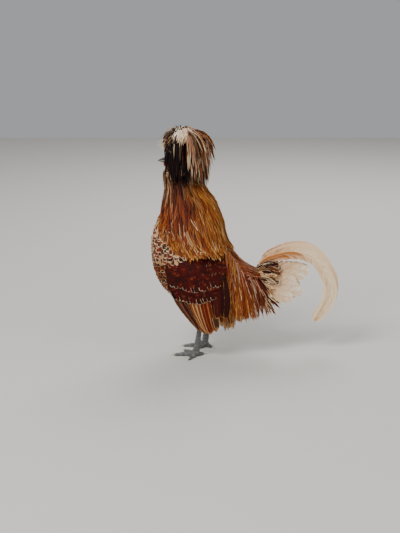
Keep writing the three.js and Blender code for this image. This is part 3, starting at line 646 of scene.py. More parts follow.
class Shape(Enum):
    """The outlines that the bird's feathers have."""

    HACKLE = Cut(((0, .35), (.3, .9), (.55, 1), (.8, .66), (.93, .34), (1, .05)), 2, 6)
    SCALE = Cut(((0, .4), (.3, .85), (.6, 1), (.8, .94), (.9, .8), (.96, .58), (1, .25)), 2, 6, crowd=1.7)
    COVERT = Cut(((0, .5), (.4, 1), (.9, .97), (.955, .8), (.985, .55), (1, .25)), 2, 8, crowd=2.6)
    SMALL = Cut(((0, .6), (.5, 1), (.85, .7), (1, .15)), 2, 3, 0.22)
    FLUFF = Cut(((0, .5), (.35, 1), (.7, .8), (1, .1)), 2, 5, 0.3, 0.1, 0.9)
    CREST = Cut(((0, .5), (.2, .8), (.5, 1), (.78, .86), (.93, .5), (1, .06)), 2, 10, 0.3, 0.2, 0.6)
    FLIGHT = Cut(((0, .5), (.3, .9), (.6, 1), (.86, .9), (.96, .6), (1, .18)), 4, 18, 0.4, 0.12, 0.6)
    RECTRIX = Cut(((0, .3), (.3, .8), (.7, 1), (.88, .95), (.96, .75), (1, .4)), 2, 40, 0.25, 0.0, 0.0)
    BARB = Cut(((0, .6), (.4, 1), (.8, .7), (1, .1)), 1, 4, 0.65, 0.0, 0.0)


def lie(surface: Surface, roots: Array, lengths: Array, headings: Array, shape: Shape,
        depth: Values, lift: Values, curl: Values = 0.0) -> Lines:
    """Lets feathers grow along a surface, from under it at the root to over it at the tip.

    Args:
        surface: what they grow on.
        roots: (feathers, 2) places.
        lengths: in mm.
        headings: each feather's turn from straight down the surface, in radians.
        shape: the feathers' shape.
        depth: how deep the root sits, in mm.
        lift: how far the tip lies over the surface, in mm.
        curl: how much further the tip stands off.

    Returns:
        Mid lines and outward directions, (feathers, rows + 1, 3) each.
    """
    u, v = roots[:, 0].copy(), roots[:, 1].copy()
    rows = shape.value.rows
    paths = np.empty((len(u), rows + 1, 3))
    outwards = np.empty_like(paths)
    for i in range(rows + 1):
        s = i / rows
        normal = unit(surface.read(surface.normals, u, v))
        height = -depth + (depth + lift) * s ** 0.75 + curl * s ** 3
        paths[:, i] = surface.read(surface.points, u, v) + normal * np.broadcast_to(height, len(u))[:, None]
        outwards[:, i] = normal
        scale = np.maximum(surface.read(surface.metric, u, v), 4.0)
        u += np.cos(headings) * lengths / rows / scale[:, 0]
        v += np.sin(headings) * lengths / rows / scale[:, 1]
    return paths, outwards


def through(shape: Shape, stations: Sequence[Array]) -> Array:
    """Mid lines of feathers of one shape through stations, (feathers, 3) each."""
    return curve(np.stack(stations, axis=1), np.linspace(0, 1, shape.value.rows + 1))


def alike(facing: Array, paths: Array) -> Array:
    """One facing for each feather, the same all along it."""
    return np.repeat(facing[:, None], paths.shape[1], axis=1)


def draped(paths: Array, surface: Surface, clearance: float) -> Array:
    """Lifts the outer part of mid lines that would sink into a surface.

    Args:
        paths: (feathers, stations, 3).
        surface: what they fall over.
        clearance: how far their tips stay over it, in mm.

    Returns:
        The lifted lines.
    """
    spots, normals = surface.points.reshape(-1, 3), surface.normals.reshape(-1, 3)
    tree = KDTree(len(spots))
    for k, spot in enumerate(spots):
        tree.insert(spot, k)
    tree.balance()
    points = paths.reshape(-1, 3)
    near = np.array([tree.find(point)[1] for point in points])
    wanted = np.tile(np.linspace(-8, 0, paths.shape[1]), len(paths)) + clearance
    sunk = np.clip(wanted - ((points - spots[near]) * normals[near]).sum(axis=1), 0, 26)
    return (points + normals[near] * sunk[:, None]).reshape(paths.shape)


def barbed(rng: Rng, line: Lines, half: Array, count: int, lean: float) -> tuple[Lines, Array, Array]:
    """Parts one long feather into soft barbs on both sides of its shaft.

    Args:
        rng: the draws.
        line: its mid line and outward directions, (stations, 3) each.
        half: its half width at each station.
        count: barbs on one side.
        lean: how far a barb runs forward, as a share of the feather.

    Returns:
        The barbs' lines, their places along the feather and their sides.
    """
    path, outwards = line
    place = np.tile(np.linspace(0.03, 0.985, count), 2) + rng.normal(0, 0.1 / count, 2 * count)
    side = np.repeat((-1.0, 1.0), count)
    w = np.linspace(0, 1, Shape.BARB.value.rows + 1)
    forward = np.minimum(lean * rng.uniform(0.8, 1.25, 2 * count), 0.9 * (1 - place))
    t = np.clip(place[:, None] + forward[:, None] * w, 0, 1)
    across = unit(np.cross(np.gradient(path, axis=0), outwards))
    spots, facing, aside = (curve(values, t.ravel()).reshape(*t.shape, 3)
                            for values in (path, outwards, across))
    reach = np.interp(t, np.linspace(0, 1, len(half)), half) * w ** 0.8
    reach = reach * rng.uniform(0.86, 1.06, (2 * count, 1))
    droop = w ** 2 * rng.uniform(0, 0.8, (2 * count, 1))
    paths = spots + aside * (side[:, None] * reach)[..., None] - facing * droop[..., None]
    return (paths, facing), place, side


@dataclass
class Dye:
    """The colours and marks of a batch of feathers; the shaft is like the edge where it isn't given."""

    ground: Array
    edge: Array
    shaft: Array | None = None
    lace: Values = 0.3
    tip: Values = 0.1
    streak: Values = 0.0

    @classmethod
    def drawn(cls, rng: Rng, count: int, ground: Shares, edge: Shares, **marks: float) -> "Dye":
        """Draws a ground, then an edge for each feather, and takes the marks as they are given."""
        return cls(pick(rng, count, **ground), pick(rng, count, **edge), **marks)

    def lay(self, rng: Rng, share: Array, ground: Shares, edge: Shares) -> None:
        """Draws tones over the ground, then over the edge.

        Args:
            rng: the draws.
            share: how much of the new tones each feather takes.
            ground: how often each tone comes in the ground; none keeps the ground.
            edge: the same for the edge.
        """
        for name, shares in (("ground", ground), ("edge", edge)):
            if shares:
                under = getattr(self, name)
                setattr(self, name, mixed(under, pick(rng, len(under), **shares), share))


def added(name: str, data: bpy.types.ID) -> Thing:
    """Puts data into the scene as an object.

    Args:
        name: the object's name.
        data: its mesh, light or camera.

    Returns:
        The object.
    """
    thing = bpy.data.objects.new(name, data)
    bpy.context.scene.collection.objects.link(thing)
    return thing


def paint(mesh: Mesh, name: str, dye: Array) -> None:
    """Gives a mesh a colour at each point."""
    rgba = np.concatenate([dye, np.ones((len(dye), 1))], axis=1).astype(np.float32)
    mesh.color_attributes.new(name, "FLOAT_COLOR", "POINT").data.foreach_set("color", rgba.ravel())


def finished(mesh: Mesh, name: str, nodes: Sequence[str], material: Material) -> Thing:
    """Makes a mesh in the part's millimetres a finished piece of the frame.

    Args:
        mesh: the mesh.
        name: the piece's name.
        nodes: CAD nodes that it stands for.
        material: its finish.

    Returns:
        The piece.
    """
    co = np.empty(len(mesh.vertices) * 3)
    mesh.vertices.foreach_get("co", co)
    co = (co.reshape(-1, 3) - (CENTRE_X, 0, 0)) * MM
    mesh.vertices.foreach_set("co", co.ravel())
    mesh.materials.clear()
    mesh.materials.append(material)
    mesh.update()
    piece = added(name, mesh)
    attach(piece, "root")
    if nodes:
        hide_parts(*nodes)
    LOG.info("%s: %d faces", name, len(mesh.polygons))
    return piece


class Coat:
    """The feathers of one piece, gathered batch by batch."""

    def __init__(self, name: str, slot: str, nodes: Sequence[str], finish: Material) -> None:
        """Starts a coat piece.

        Args:
            name: the piece's name.
            slot: the record's material slot; not used.
            nodes: CAD nodes that it stands for.
            finish: its material.
        """
        self.name, self.slot, self.nodes, self.finish = name, slot, nodes, finish
        self.maps: defaultdict[str, list[Array]] = defaultdict(list)
        self.corners = 0

    def grow(self, rng: Rng, shape: Shape, lines: Lines, widths: Array, roots: Array, dye: Dye) -> None:
        """Adds a batch of feathers.

        Args:
            rng: the draws.
            shape: their outline.
            lines: mid lines and outward directions.
            widths: each feather's full width in mm.
            roots: places on the unwrap of the skin.
            dye: their colouring.
        """
        cut, count = shape.value, len(widths)
        along = cut.along(np.linspace(0, 1, cut.rows + 1))
        paths, outwards = (curve(line, along) for line in lines)
        half = widths[:, None] / 2 * np.interp(along, *zip(*cut.outline))[None]
        half = half * (1 + rng.uniform(-0.06, 0.06, half.shape))
        sheet, faces = self.sheet(cut)
        first = np.arange(count)[:, None, None] * len(sheet) + self.corners
        self.corners += count * len(sheet)
        vane = joined((sheet[:, 0] + 1) / 2, cut.along(sheet[:, 1]))
        bake = np.clip(roots, *BAKE_RANGE)[:, None] + vane[None] * BAKE_PATCH
        self.maps["co"].append(self.shaped(cut, (paths, outwards), half, sheet).reshape(-1, 3))
        self.maps["faces"].append((faces[None] + first).reshape(-1, 4))
        self.maps["Vane"].append(np.tile(vane, (count, 1)))
        self.maps["OFBake"].append(bake.reshape(-1, 2))
        marks = [np.broadcast_to(mark, count) for mark in (dye.lace, dye.tip, dye.streak)]
        for name, values in (
                ("Ground", dye.ground), ("Edge", dye.edge),
                ("Shaft", dye.edge if dye.shaft is None else dye.shaft),
                ("Marks", np.stack(marks, axis=-1)), ("Chance", rng.uniform(0, 1, count)),
                ("Length", np.linalg.norm(np.diff(paths, axis=1), axis=-1).sum(axis=1))):
            self.maps[name].append(np.repeat(values, len(sheet), axis=0))

    @staticmethod
    def sheet(cut: Cut) -> tuple[Array, Array]:
        """Cuts one flat feather.

        Args:
            cut: its rows and columns.

        Returns:
            Its corners as (across, along, under) and its faces as rows of four corners.
        """
        bm = bmesh.new()
        bmesh.ops.create_grid(bm, x_segments=cut.columns, y_segments=cut.rows, size=1.0)
        bmesh.ops.solidify(bm, geom=list(bm.faces), thickness=0.5)
        bm.verts.index_update()
        corners = np.array([v.co for v in bm.verts])
        faces = np.array([[v.index for v in f.verts] for f in bm.faces])
        bm.free()
        corners[:, 1] = (corners[:, 1] + 1) / 2
        corners[:, 2] = corners[:, 2] < -0.1
        return corners, faces

    @staticmethod
    def shaped(cut: Cut, lines: Lines, half_widths: Array, sheet: Array) -> Array:
        """Bends a flat feather along each mid line of a batch.

        Args:
            cut: the feather's shape.
            lines: mid lines and outward directions.
            half_widths: each feather's half width at each station.
            sheet: the flat feather's corners.

        Returns:
            (feathers, corners, 3) in mm.
        """
        paths, outwards = lines
        onwards = unit(np.gradient(paths, axis=1))
        across = unit(np.cross(onwards, outwards))
        normal = np.cross(across, onwards)
        row = np.rint(sheet[:, 1] * cut.rows).astype(int)
        off = sheet[:, 0][None, :, None]
        half = half_widths[:, row][..., None]
        bowl = (1 - off ** 2) * half * cut.camber + off * cut.roll * (half > 1.2)
        under = sheet[:, 2][None, :, None] * cut.thickness
        return paths[:, row] + across[:, row] * off * half + normal[:, row] * (bowl - under)

    def dress(self) -> Thing:
        """Joins the batches to one mesh with its maps and places it.

        Returns:
            The coat piece.
        """
        maps = {name: np.concatenate(values) for name, values in self.maps.items()}
        faces = maps["faces"]
        mesh = bpy.data.meshes.new(self.name)
        mesh.vertices.add(self.corners)
        mesh.vertices.foreach_set("co", maps["co"].ravel())
        mesh.loops.add(faces.size)
        mesh.loops.foreach_set("vertex_index", faces.ravel())
        mesh.polygons.add(len(faces))
        mesh.polygons.foreach_set("loop_start", np.arange(0, faces.size, 4))
        mesh.update(calc_edges=True)
        mesh.polygons.foreach_set("use_smooth", np.ones(len(faces), bool))
        mesh.set_sharp_from_angle(angle=math.radians(48))
        for name in ("OFBake", "Vane"):
            layer = mesh.uv_layers.new(name=name)
            layer.uv.foreach_set("vector", maps[name][faces.ravel()].astype(np.float32).ravel())
        for name in ("Ground", "Edge", "Shaft"):
            paint(mesh, name, maps[name])
        for name, kind, field in (("Marks", "FLOAT_VECTOR", "vector"), ("Chance", "FLOAT", "value"),
                                  ("Length", "FLOAT", "value")):
            values = maps[name].astype(np.float32).ravel()
            mesh.attributes.new(name, kind, "POINT").data.foreach_set(field, values)
        return finished(mesh, self.name, self.nodes, self.finish)


# Plain shells

def shell(name: str, place: Place, rings: int, sides: int) -> Mesh:
    """Wraps a grid round a form and closes its seam and poles.

    Args:
        name: the mesh's name.
        place: points in mm at shares t along the form and angles round it.
        rings: faces along it.
        sides: faces round it.

    Returns:
        The mesh, with the grid's own map as "Span".
    """
    bm = bmesh.new()
    bm.loops.layers.uv.new("Span")
    bmesh.ops.create_grid(bm, x_segments=sides, y_segments=rings, size=1.0, calc_uvs=True)
    grid = np.array([v.co for v in bm.verts])
    moved = place((grid[:, 1] + 1) / 2, (grid[:, 0] + 1) * math.pi)
    for vertex, spot in zip(bm.verts, moved):
        vertex.co = spot
    bmesh.ops.remove_doubles(bm, verts=list(bm.verts), dist=0.002)
    bmesh.ops.recalc_face_normals(bm, faces=list(bm.faces))
    for face in bm.faces:
        face.smooth = True
    mesh = bpy.data.meshes.new(name)
    bm.to_mesh(mesh)
    bm.free()
    return mesh


def merged(name: str, meshes: Sequence[Mesh]) -> Mesh:
    """Joins meshes to one and removes them.

    Args:
        name: the new mesh's name.
        meshes: what it is made of.

    Returns:
        The joined mesh.
    """
    bm = bmesh.new()
    for mesh in meshes:
        bm.from_mesh(mesh)
        bpy.data.meshes.remove(mesh)
    mesh = bpy.data.meshes.new(name)
    bm.to_mesh(mesh)
    bm.free()
    return mesh


def dome(t: Array, share: float = 0.06) -> Array:
    """A radius that closes round at both ends of a form."""
    ends = np.minimum(np.minimum(t, 1 - t) / share, 1)
    return np.sqrt(np.maximum(1 - (1 - ends) ** 2, 0))


def opened(t: Array, share: float) -> Array:
    """A radius that grows round from the start of a form."""
    return np.minimum(1, np.sqrt(t / share))


def signed(x: Array, power: float) -> Array:
    """A power that keeps the sign."""
    return np.sign(x) * np.abs(x) ** power


def pull(vertices: Sequence[bpy.types.MeshVertex | bmesh.types.BMVert], spot: Array, radius: float,
         towards: Array, depth: float) -> None:
    """Presses a round dent.

    Args:
        vertices: what may move.
        spot: the dent's middle in mm.
        radius: its reach.
        towards: the point that it is pressed towards.
        depth: how deep it gets.
    """
    for vertex in vertices:
        near = max(0.0, 1 - (vertex.co - Vector(spot)).length / radius)
        vertex.co += (Vector(towards) - vertex.co).normalized() * depth * near


def flesh(point: Callable[[Array, Array, float], Array], depth: float, ends: float) -> Place:
    """A place function for the flesh under a form's surface, closed at both ends.

    Args:
        point: points of the form at a growth in mm.
        depth: how far under its surface the flesh ends.
        ends: how much of the form's length each end takes to close.

    Returns:
        Points of the flesh.
    """
    def place(t: Array, angle: Array) -> Array:
        """Points of the flesh."""
        middle = point(t, angle, TO_THE_AXIS)
        return middle + (point(t, angle, -depth) - middle) * dome(t, ends)[:, None]
    return place


def ellipsoid(centre: Sequence[float], radii: Sequence[float], yaw: float = 0.0) -> Place:
    """A place function for an ellipsoid turned about the vertical.

    Args:
        centre: its middle in mm.
        radii: its half sizes.
        yaw: its turn in radians.

    Returns:
        Points on the ellipsoid.
    """
    def place(t: Array, angle: Array) -> Array:
        """Points on the ellipsoid.

        Args:
            t: shares of its way, 0 to 1.
            angle: turns round it.

        Returns:
            The points in mm.
        """
        ring = np.sin(math.pi * t)
        local = joined(ring * np.cos(angle), ring * np.sin(angle), -np.cos(math.pi * t)) * radii
        cos, sin = math.cos(-yaw), math.sin(-yaw)
        turned = local @ np.array([[cos, sin, 0], [-sin, cos, 0], [0, 0, 1]])
        return turned + np.asarray(centre)
    return place


# The bird

@dataclass
class Body:
    """Breast, belly, back and vent: a coat of scale-like feathers over the body."""

    stations: Stations = (
        (24, 264, -81, 291, 46), (39, 247, -96, 264, 57), (51, 231, -103, 233, 63),
        (62, 214, -102, 201, 65), (73, 199, -96, 170, 64), (85, 188, -79, 138, 62),
        (96, 181, -47, 111, 60), (105, 176, -6, 98, 55), (113, 171, 36, 92, 46),
        (119, 166, 74, 98, 34), (124, 158, 106, 118, 17))
    regions: tuple[tuple, ...] = (
        ("breast_coat", "breast_plumage", ["torso"], (0.0, 0.62, 7.2), (0.16, 0.84, 8.6), 19, 11.5),
        ("belly_coat", "saddle_plumage", ["rump"], (0.6, 0.97, 9.0), (0.12, 0.88, 10.0), 26, 15),
        ("back_coat", "saddle_plumage", [], (0.05, 0.96, 7.0), (-0.17, 0.17, 6.0), 46, 7.0))
    tufts: int = 240

    def __post_init__(self) -> None:
        """Samples the body's surface."""
        self.surface = Surface.wrapped(self.point)

    def point(self, t: Array, angle: Array, growth: float = 0.0) -> Array:
        """Points on the body.

        Args:
            t: from the neck's root, 0, to the tail's, 1.
            angle: round the body from the back's ridge, to the right side first.
            growth: how far outside the body's surface, in mm.

        Returns:
            The points.
        """
        line = np.linspace(0, 1, 181)
        rails = curve(np.array(self.stations), line)
        tx, tz, bx, bz, wide = (np.interp(t, line, rails[:, k]) for k in range(5))
        depth = joined(tx - bx, tz - bz) / 2
        length = np.linalg.norm(depth, axis=-1, keepdims=True)
        depth = depth * np.maximum(length + growth, 1) / length
        x = (tx + bx) / 2 + depth[..., 0] * np.cos(angle)
        z = (tz + bz) / 2 + depth[..., 1] * np.cos(angle)
        return joined(x, np.maximum(wide + growth, 1) * np.sin(angle), z)

    def dye(self, rng: Rng, at: Array) -> Dye:
        """Colours of body feathers by their roots.

        Args:
            rng: the draws.
            at: (feathers, 3) in mm.

        Returns:
            The colouring.
        """
        n = len(at)
        x, z = at[:, 0] + rng.normal(0, 5, n), at[:, 2] + rng.normal(0, 5, n)
        low = rise(-z, -226, -200)
        dye = Dye.drawn(rng, n, dict(BROWN=6, RUSSET=2, UMBER=1, CHESTNUT=2, BUFF=2),
                        dict(CREAM=3, BUFF=2, ROSE=6))
        dye.lay(rng, low, dict(UMBER=2, MAROON=2, MAHOGANY=3, RUSSET=3), dict(CREAM=1, BUFF=3, TAN=2))
        dye.lay(rng, rise(-z, -150, -125), dict(BUFF=2, CHESTNUT=2, BROWN=2, RUST=2),
                dict(CREAM=3, STRAW=2, BUFF=1))
        dye.lay(rng, rise(x, -10, 40) * rise(z, 150, 185), dict(MAHOGANY=2, RUSSET=3, RUST=2),
                dict(ROSE=2, TAN=2, CHESTNUT=3))
        dye.tip = 0.085 - 0.04 * low + rng.uniform(-0.02, 0.03, n)
        dye.lace = 0.24 - 0.07 * low + rng.uniform(-0.05, 0.06, n)
        return dye

    def build(self, finish: Material, glossy: Material) -> None:
        """Grows the breast, belly and back pieces.

        Args:
            finish: the material of breast and belly.
            glossy: the material of the back.
        """
        rng = draws(1)
        s = self.surface
        for name, slot, nodes, down, across, length, width in self.regions:
            shape, material = (Shape.HACKLE, glossy) if name == "back_coat" else (Shape.SCALE, finish)
            coat = Coat(name, slot, nodes, material)
            roots = s.rooted(rng, down, across)
            n = len(roots)
            fade = 1 - 0.35 * rise(roots[:, 0], 0.7, 1.0)
            lines = lie(s, roots, length * fade * rng.uniform(0.85, 1.12, n), rng.normal(0, 0.13, n),
                        shape, 4.5, 0.8 + rng.uniform(-0.5, 0.6, n), rng.uniform(0, 0.9, n))
            widths = width * fade * rng.uniform(0.88, 1.1, n)
            dye = self.dye(rng, s.read(s.points, roots[:, 0], roots[:, 1]))
            coat.grow(rng, shape, lines, widths, roots % 1.0, dye)
            if name == "belly_coat":
                self.fluff(coat, rng)
            coat.dress()

    def fluff(self, coat: Coat, rng: Rng) -> None:
        """Adds soft long feathers round the vent and between the thighs.

        Args:
            coat: the piece that gets them.
            rng: the draws.
        """
        roots = self.surface.rooted(rng, (0.62, 0.93, 8.0), (0.36, 0.64, 8.0))
        n = len(roots)
        lines = lie(self.surface, roots, rng.uniform(24, 36, n), rng.normal(0, 0.35, n), Shape.FLUFF,
                    3.0, rng.uniform(0, 2.0, n), rng.uniform(0, 3.5, n))
        dye = Dye.drawn(rng, n, dict(BUFF=4, ASH=1, GOLD=2), dict(CREAM=3, BUFF=2), lace=0.5, tip=0.3)
        coat.grow(rng, Shape.FLUFF, lines, rng.uniform(8, 12, n), roots, dye)
        n = self.tufts
        x, y = rng.uniform(14, 84, n), rng.uniform(-30, 30, n)
        hang = 60 + 0.006 * (x - 42) ** 2 - 10 * rise(-np.abs(x - 47), -14, -4) + rng.uniform(0, 12, n)
        foot = joined(x + rng.uniform(-3, 9, n), y * 1.12, hang)
        top = joined(x, y, np.full(n, 106.0))
        bend = (top + foot) / 2 + joined(rng.normal(0, 2, n), y * 0.06, 0 * x)
        paths = through(Shape.FLUFF, (top, bend, foot))
        facing = unit(joined(0.4 * np.sign(x - 48), np.sign(y) * (0.3 + np.abs(y) / 20), 0 * x))
        dye = Dye.drawn(rng, n, dict(BUFF=3, RUST=2, CHESTNUT=2, TAN=2),
                        dict(CREAM=1, BUFF=3), lace=0.35, tip=0.25)
        coat.grow(rng, Shape.FLUFF, (paths, alike(facing, paths)), rng.uniform(8, 12, n),
                  joined(x / 100, (y + 40) / 80), dye)


@dataclass
class Neck:
    """Neck and hackle: long narrow feathers that fall as a cape over the shoulders."""

    stations: Stations = (
        (388, -44, 27, 20, .86), (376, -44, 36, 24, .82), (362, -42, 38, 28, .8), (340, -34, 43, 35, .74),
        (318, -28, 53, 46, .68), (297, -25, 59, 54, .67), (277, -21, 63, 61, .66), (256, -18, 63, 68, .66),
        (236, -11, 61, 75, .66), (214, -2, 60, 80, .66))
    hem: Triple = (286, 210, 220)
    top: float = 386.0
    flesh: Pair = (388, 205)
    layers: tuple[tuple, ...] = (
        ("hackle_under", [], (0.02, 0.84, 11.0), 9.0, 7.0, -1.2, 10.0),
        ("hackle_cape", ["neck"], (0.0, 0.86, 7.0), 5.4, 6.0, 0.3, 6.2))

    def __post_init__(self) -> None:
        """Samples the hackle's outer face."""
        self.surface = Surface.wrapped(self.cape)

    def cape(self, u: Array, angle: Array) -> Array:
        """Points on the hackle's outer face, down to its hem."""
        return self.point(self.top + (round_about(*self.hem, angle, 8) - self.top) * u, angle, 1.0)

    def measure(self, z: Array, column: int) -> Array:
        """One column of the stations at heights in mm."""
        rising = np.array(self.stations)[::-1]
        return np.interp(z, rising[:, 0], rising[:, column])

    def point(self, z: Array, angle: Array, share: Values) -> Array:
        """Points round the neck.

        Args:
            z: height in mm.
            angle: from the front, to the right side first.
            share: of the way from the axis to the hackle's outer face.

        Returns:
            The points.
        """
        x, deep, wide = (self.measure(z, column) for column in (1, 2, 3))
        return joined(x - np.cos(angle) * deep * share, np.sin(angle) * wide * share, z)

    def core(self, t: Array, angle: Array) -> Array:
        """Points of the neck's flesh, closed at both ends."""
        z = self.flesh[0] - (self.flesh[0] - self.flesh[1]) * t
        return self.point(z, angle, self.measure(z, 4) * dome(t, 0.03))

    def dye(self, rng: Rng, roots: Array) -> Dye:
        """Colours of hackle feathers by their roots.

        Args:
            rng: the draws.
            roots: places u, v on the hackle.

        Returns:
            The colouring.
        """
        n = len(roots)
        turn = np.cos(roots[:, 1] * FULL_TURN) + rng.normal(0, 0.2, n)
        low = roots[:, 0] + rng.normal(0, 0.08, n)
        hem, throat = rise(low, 0.36, 0.62), rise(turn, 0.4, 0.7) * rise(-low, -0.24, -0.12)
        dye = Dye.drawn(rng, n, dict(RUSSET=3, UMBER=2, RUST=1, MAHOGANY=2),
                        dict(CHESTNUT=3, RUST=5, RUSSET=2))
        dye.lay(rng, rise(-np.abs(turn - 0.1), -0.65, -0.25) * rise(-low, -0.4, -0.12),
                dict(SOOT=3, MAROON=1, UMBER=2), dict(RUSSET=1, MAHOGANY=2, UMBER=3))
        dye.lay(rng, 0.9 * rise(-turn, -0.1, 0.8), dict(RUST=2, RUSSET=2, CHESTNUT=2),
                dict(GOLD=4, TAN=3, STRAW=1, CHESTNUT=2))
        dye.lay(rng, hem * 0.9, {}, dict(STRAW=2, GOLD=2, CREAM=1, TAN=2, CHESTNUT=3, RUST=4))
        dye.lay(rng, hem * 0.8, dict(RUSSET=3, MAHOGANY=2, UMBER=2), {})
        dye.lay(rng, throat, dict(BROWN=2, BUFF=1, ASH=2, UMBER=1), dict(BUFF=3, ASH=3, BROWN=2))
        dye.lace = 0.3 + rng.uniform(-0.08, 0.18, n)
        dye.tip = 0.08 + rng.uniform(0, 0.1, n)
        dye.streak = rng.choice([0, 0, 0, 0.22], n) * (1 - throat)
        return dye

    def build(self, finish: Material, body: Surface) -> None:
        """Grows the hackle in two pieces, under and over, draped on the body.

        Args:
            finish: the feathers' material.
            body: the surface that they fall over.
        """
        rng = draws(2)
        s = self.surface
        for name, nodes, down, step, depth, lift, width in self.layers:
            coat = Coat(name, "hackle_plumage", nodes, finish)
            roots = s.rooted(rng, down, (0.0, 1.0, step))
            n, u, turn = len(roots), roots[:, 0], roots[:, 1] * FULL_TURN
            wander = 4 * np.sin(roots[:, 1] * 40) + rng.uniform(-7, 8, n) - 8 * np.abs(np.sin(turn)) ** 2
            lengths = np.minimum(26 + 46 * rise(u, 0.0, 0.45), np.maximum(s.room(roots) + wander, 16))
            lengths = lengths * rng.uniform(0.82, 1.06, n)
            shrink = 0.5 + 0.5 * rise(u, 0.08, 0.35)
            paths, outwards = lie(s, roots, lengths, rng.normal(0, 0.12, n), Shape.HACKLE, depth * shrink,
                                  lift + rng.uniform(-0.8, 0.8, n), rng.uniform(-0.5, 1.6, n))
            slim = 1 - 0.45 * rise(np.cos(turn), 0.2, 0.6) * rise(-u, -0.4, -0.15)
            widths = width * shrink * slim * rng.uniform(0.85, 1.15, n)
            coat.grow(rng, Shape.HACKLE, (draped(paths, body, 3.4 + lift), outwards), widths, roots % 1.0,
                      self.dye(rng, roots))
            coat.dress()


@dataclass
class Wing:
    """A folded wing: laced coverts in rows over the stacked flight feathers."""

    stations: tuple[Stations, ...] = (
        ((-70, 44, 218), (-15, 57, 238), (38, 44, 222)),
        ((-76, 52, 186), (-18, 76, 190), (46, 62, 188)),
        ((-60, 60, 128), (-8, 82, 132), (49, 68, 130)),
        ((-14, 54, 62), (14, 60, 58), (42, 60, 74)))
    drop: float = 4.5
    depths: tuple[float, ...] = (16, 24, 22, 5)
    flights: tuple[tuple, ...] = (
        ((0.04, 0.34), (0.44, 0.985), 6, 16.0, -4.5, "primary"),
        ((0.34, 0.74), (0.46, 0.985), 8, 16.0, -2.4, "secondary"),
        ((0.7, 0.97), (0.4, 0.9), 6, 15.0, -1.4, "tertial"))
    rows: int = 21
    laced: tuple[int, int] = (0, 5)

    def surface(self, side: int) -> Surface:
        """The wing's outer face on one side."""
        return Surface(swept(self.stations) * (1, side, 1))

    def core(self, side: int) -> Place:
        """A place function for the flesh and bone under the coverts.

        Args:
            side: -1 or 1.

        Returns:
            Points round the core, at shares down the wing.
        """
        s = self.surface(side)

        def place(t: Array, angle: Array) -> Array:
            """Points round the core, at shares t down the wing.

            Args:
                t: shares of its way, 0 to 1.
                angle: turns round it.

            Returns:
                The points in mm.
            """
            down = 0.03 + 0.72 * t
            deep = np.interp(down, (0, 1 / 3, 2 / 3, 1), self.depths) * np.abs(np.sin(angle)) * dome(t, 0.1)
            points = s.read(s.points, down, 0.5 - 0.44 * np.cos(angle) * dome(t, 0.1))
            points[:, 1] -= side * np.where(np.sin(angle) > 0, self.drop + 1.5 + deep, self.drop + 1.5)
            return points
        return place

    def tier(self, rng: Rng, s: Surface, shape: Shape, span: Pair, down: Pair,
             count: int, lift: float, bow: float = 0.0) -> tuple[Lines, Array]:
        """One row of wing feathers side by side.

        Args:
            rng: the draws.
            s: the wing's surface.
            shape: their outline.
            span: first and last place across the wing.
            down: the roots' and the tips' place down it.
            count: how many feathers.
            lift: how far the tips lie over the surface.
            bow: how far the row's middle hangs below its ends.

        Returns:
            Their lines and roots.
        """
        v = np.linspace(*span, count) + rng.uniform(-0.006, 0.006, count)
        roots = joined(np.full(count, down[0]) + rng.uniform(-0.01, 0.01, count), v)
        hang = bow * (np.sin(math.pi * np.linspace(0, 1, count)) - 0.6)
        lengths = (down[1] - down[0] + hang) * s.read(s.metric, np.full(count, sum(down) / 2), v)[:, 0]
        lengths = lengths * rng.uniform(0.96, 1.04, count)
        return lie(s, roots, lengths, rng.normal(0, 0.03, count), shape, 4.0 - lift * 0.4,
                   lift + np.linspace(-0.5, 0.5, count)), roots

    def build(self, name: str, side: int, finish: Material) -> None:
        """Grows one wing.

        Args:
            name: left or right.
            side: -1 or 1.
            finish: the feathers' material.
        """
        rng = draws(5 + side)
        s = self.surface(side)
        coat = Coat(f"wing_coat_{name}", "wing_plumage", [f"wing_{name}"], finish)
        for span, down, count, width, lift, kind in self.flights:
            lines, roots = self.tier(rng, s, Shape.FLIGHT, span, down, count, lift)
            coat.grow(rng, Shape.FLIGHT, lines, np.full(count, width), roots, self.flight(rng, count, kind))
        for row in range(self.rows):
            f = row / (self.rows - 1)
            tip = 0.695 - 0.6 * f
            laced = row in self.laced
            count, width = (12, 12.5) if laced else (15, 12.0)
            span = (0.05 + 0.03 * (row % 2), min(0.76 + 0.4 * f, 0.97))
            lines, roots = self.tier(rng, s, Shape.COVERT, span, (tip - 0.22, tip), count,
                                     -1.6 + 1.7 * f + 0.5 * laced, 0.055)
            coat.grow(rng, Shape.COVERT, lines, np.full(count, width), np.clip(roots, 0, 1),
                      self.covert(rng, row, roots))
        coat.dress()

    @staticmethod
    def flight(rng: Rng, n: int, kind: str) -> Dye:
        """Colours of flight feathers.

        Args:
            rng: the draws.
            n: how many feathers.
            kind: primary, secondary or tertial.

        Returns:
            The colouring.
        """
        if kind == "primary":
            lead = rise(-np.arange(n), -1.6, 0)
            ground = mixed(pick(rng, n, MAROON=2, MAHOGANY=2, BROWN=2), pick(rng, n, BROWN=1, BUFF=1),
                           lead * 0.8)
            return Dye(ground, pick(rng, n, BUFF=2, TAN=1), lace=0.16, tip=0.03)
        if kind == "secondary":
            dye = Dye.drawn(rng, n, dict(RUSSET=2, BROWN=3, RUST=2),
                            dict(BUFF=1, CHESTNUT=3, TAN=2), tip=0.05, streak=0.04)
            dye.shaft = pick(rng, n, CHESTNUT=2, STRAW=1)
            return dye
        return Dye.drawn(rng, n, dict(MAHOGANY=3, MAROON=1, RUSSET=1),
                         dict(TAN=3, BUFF=2, RUST=1), lace=0.16, tip=0.02)

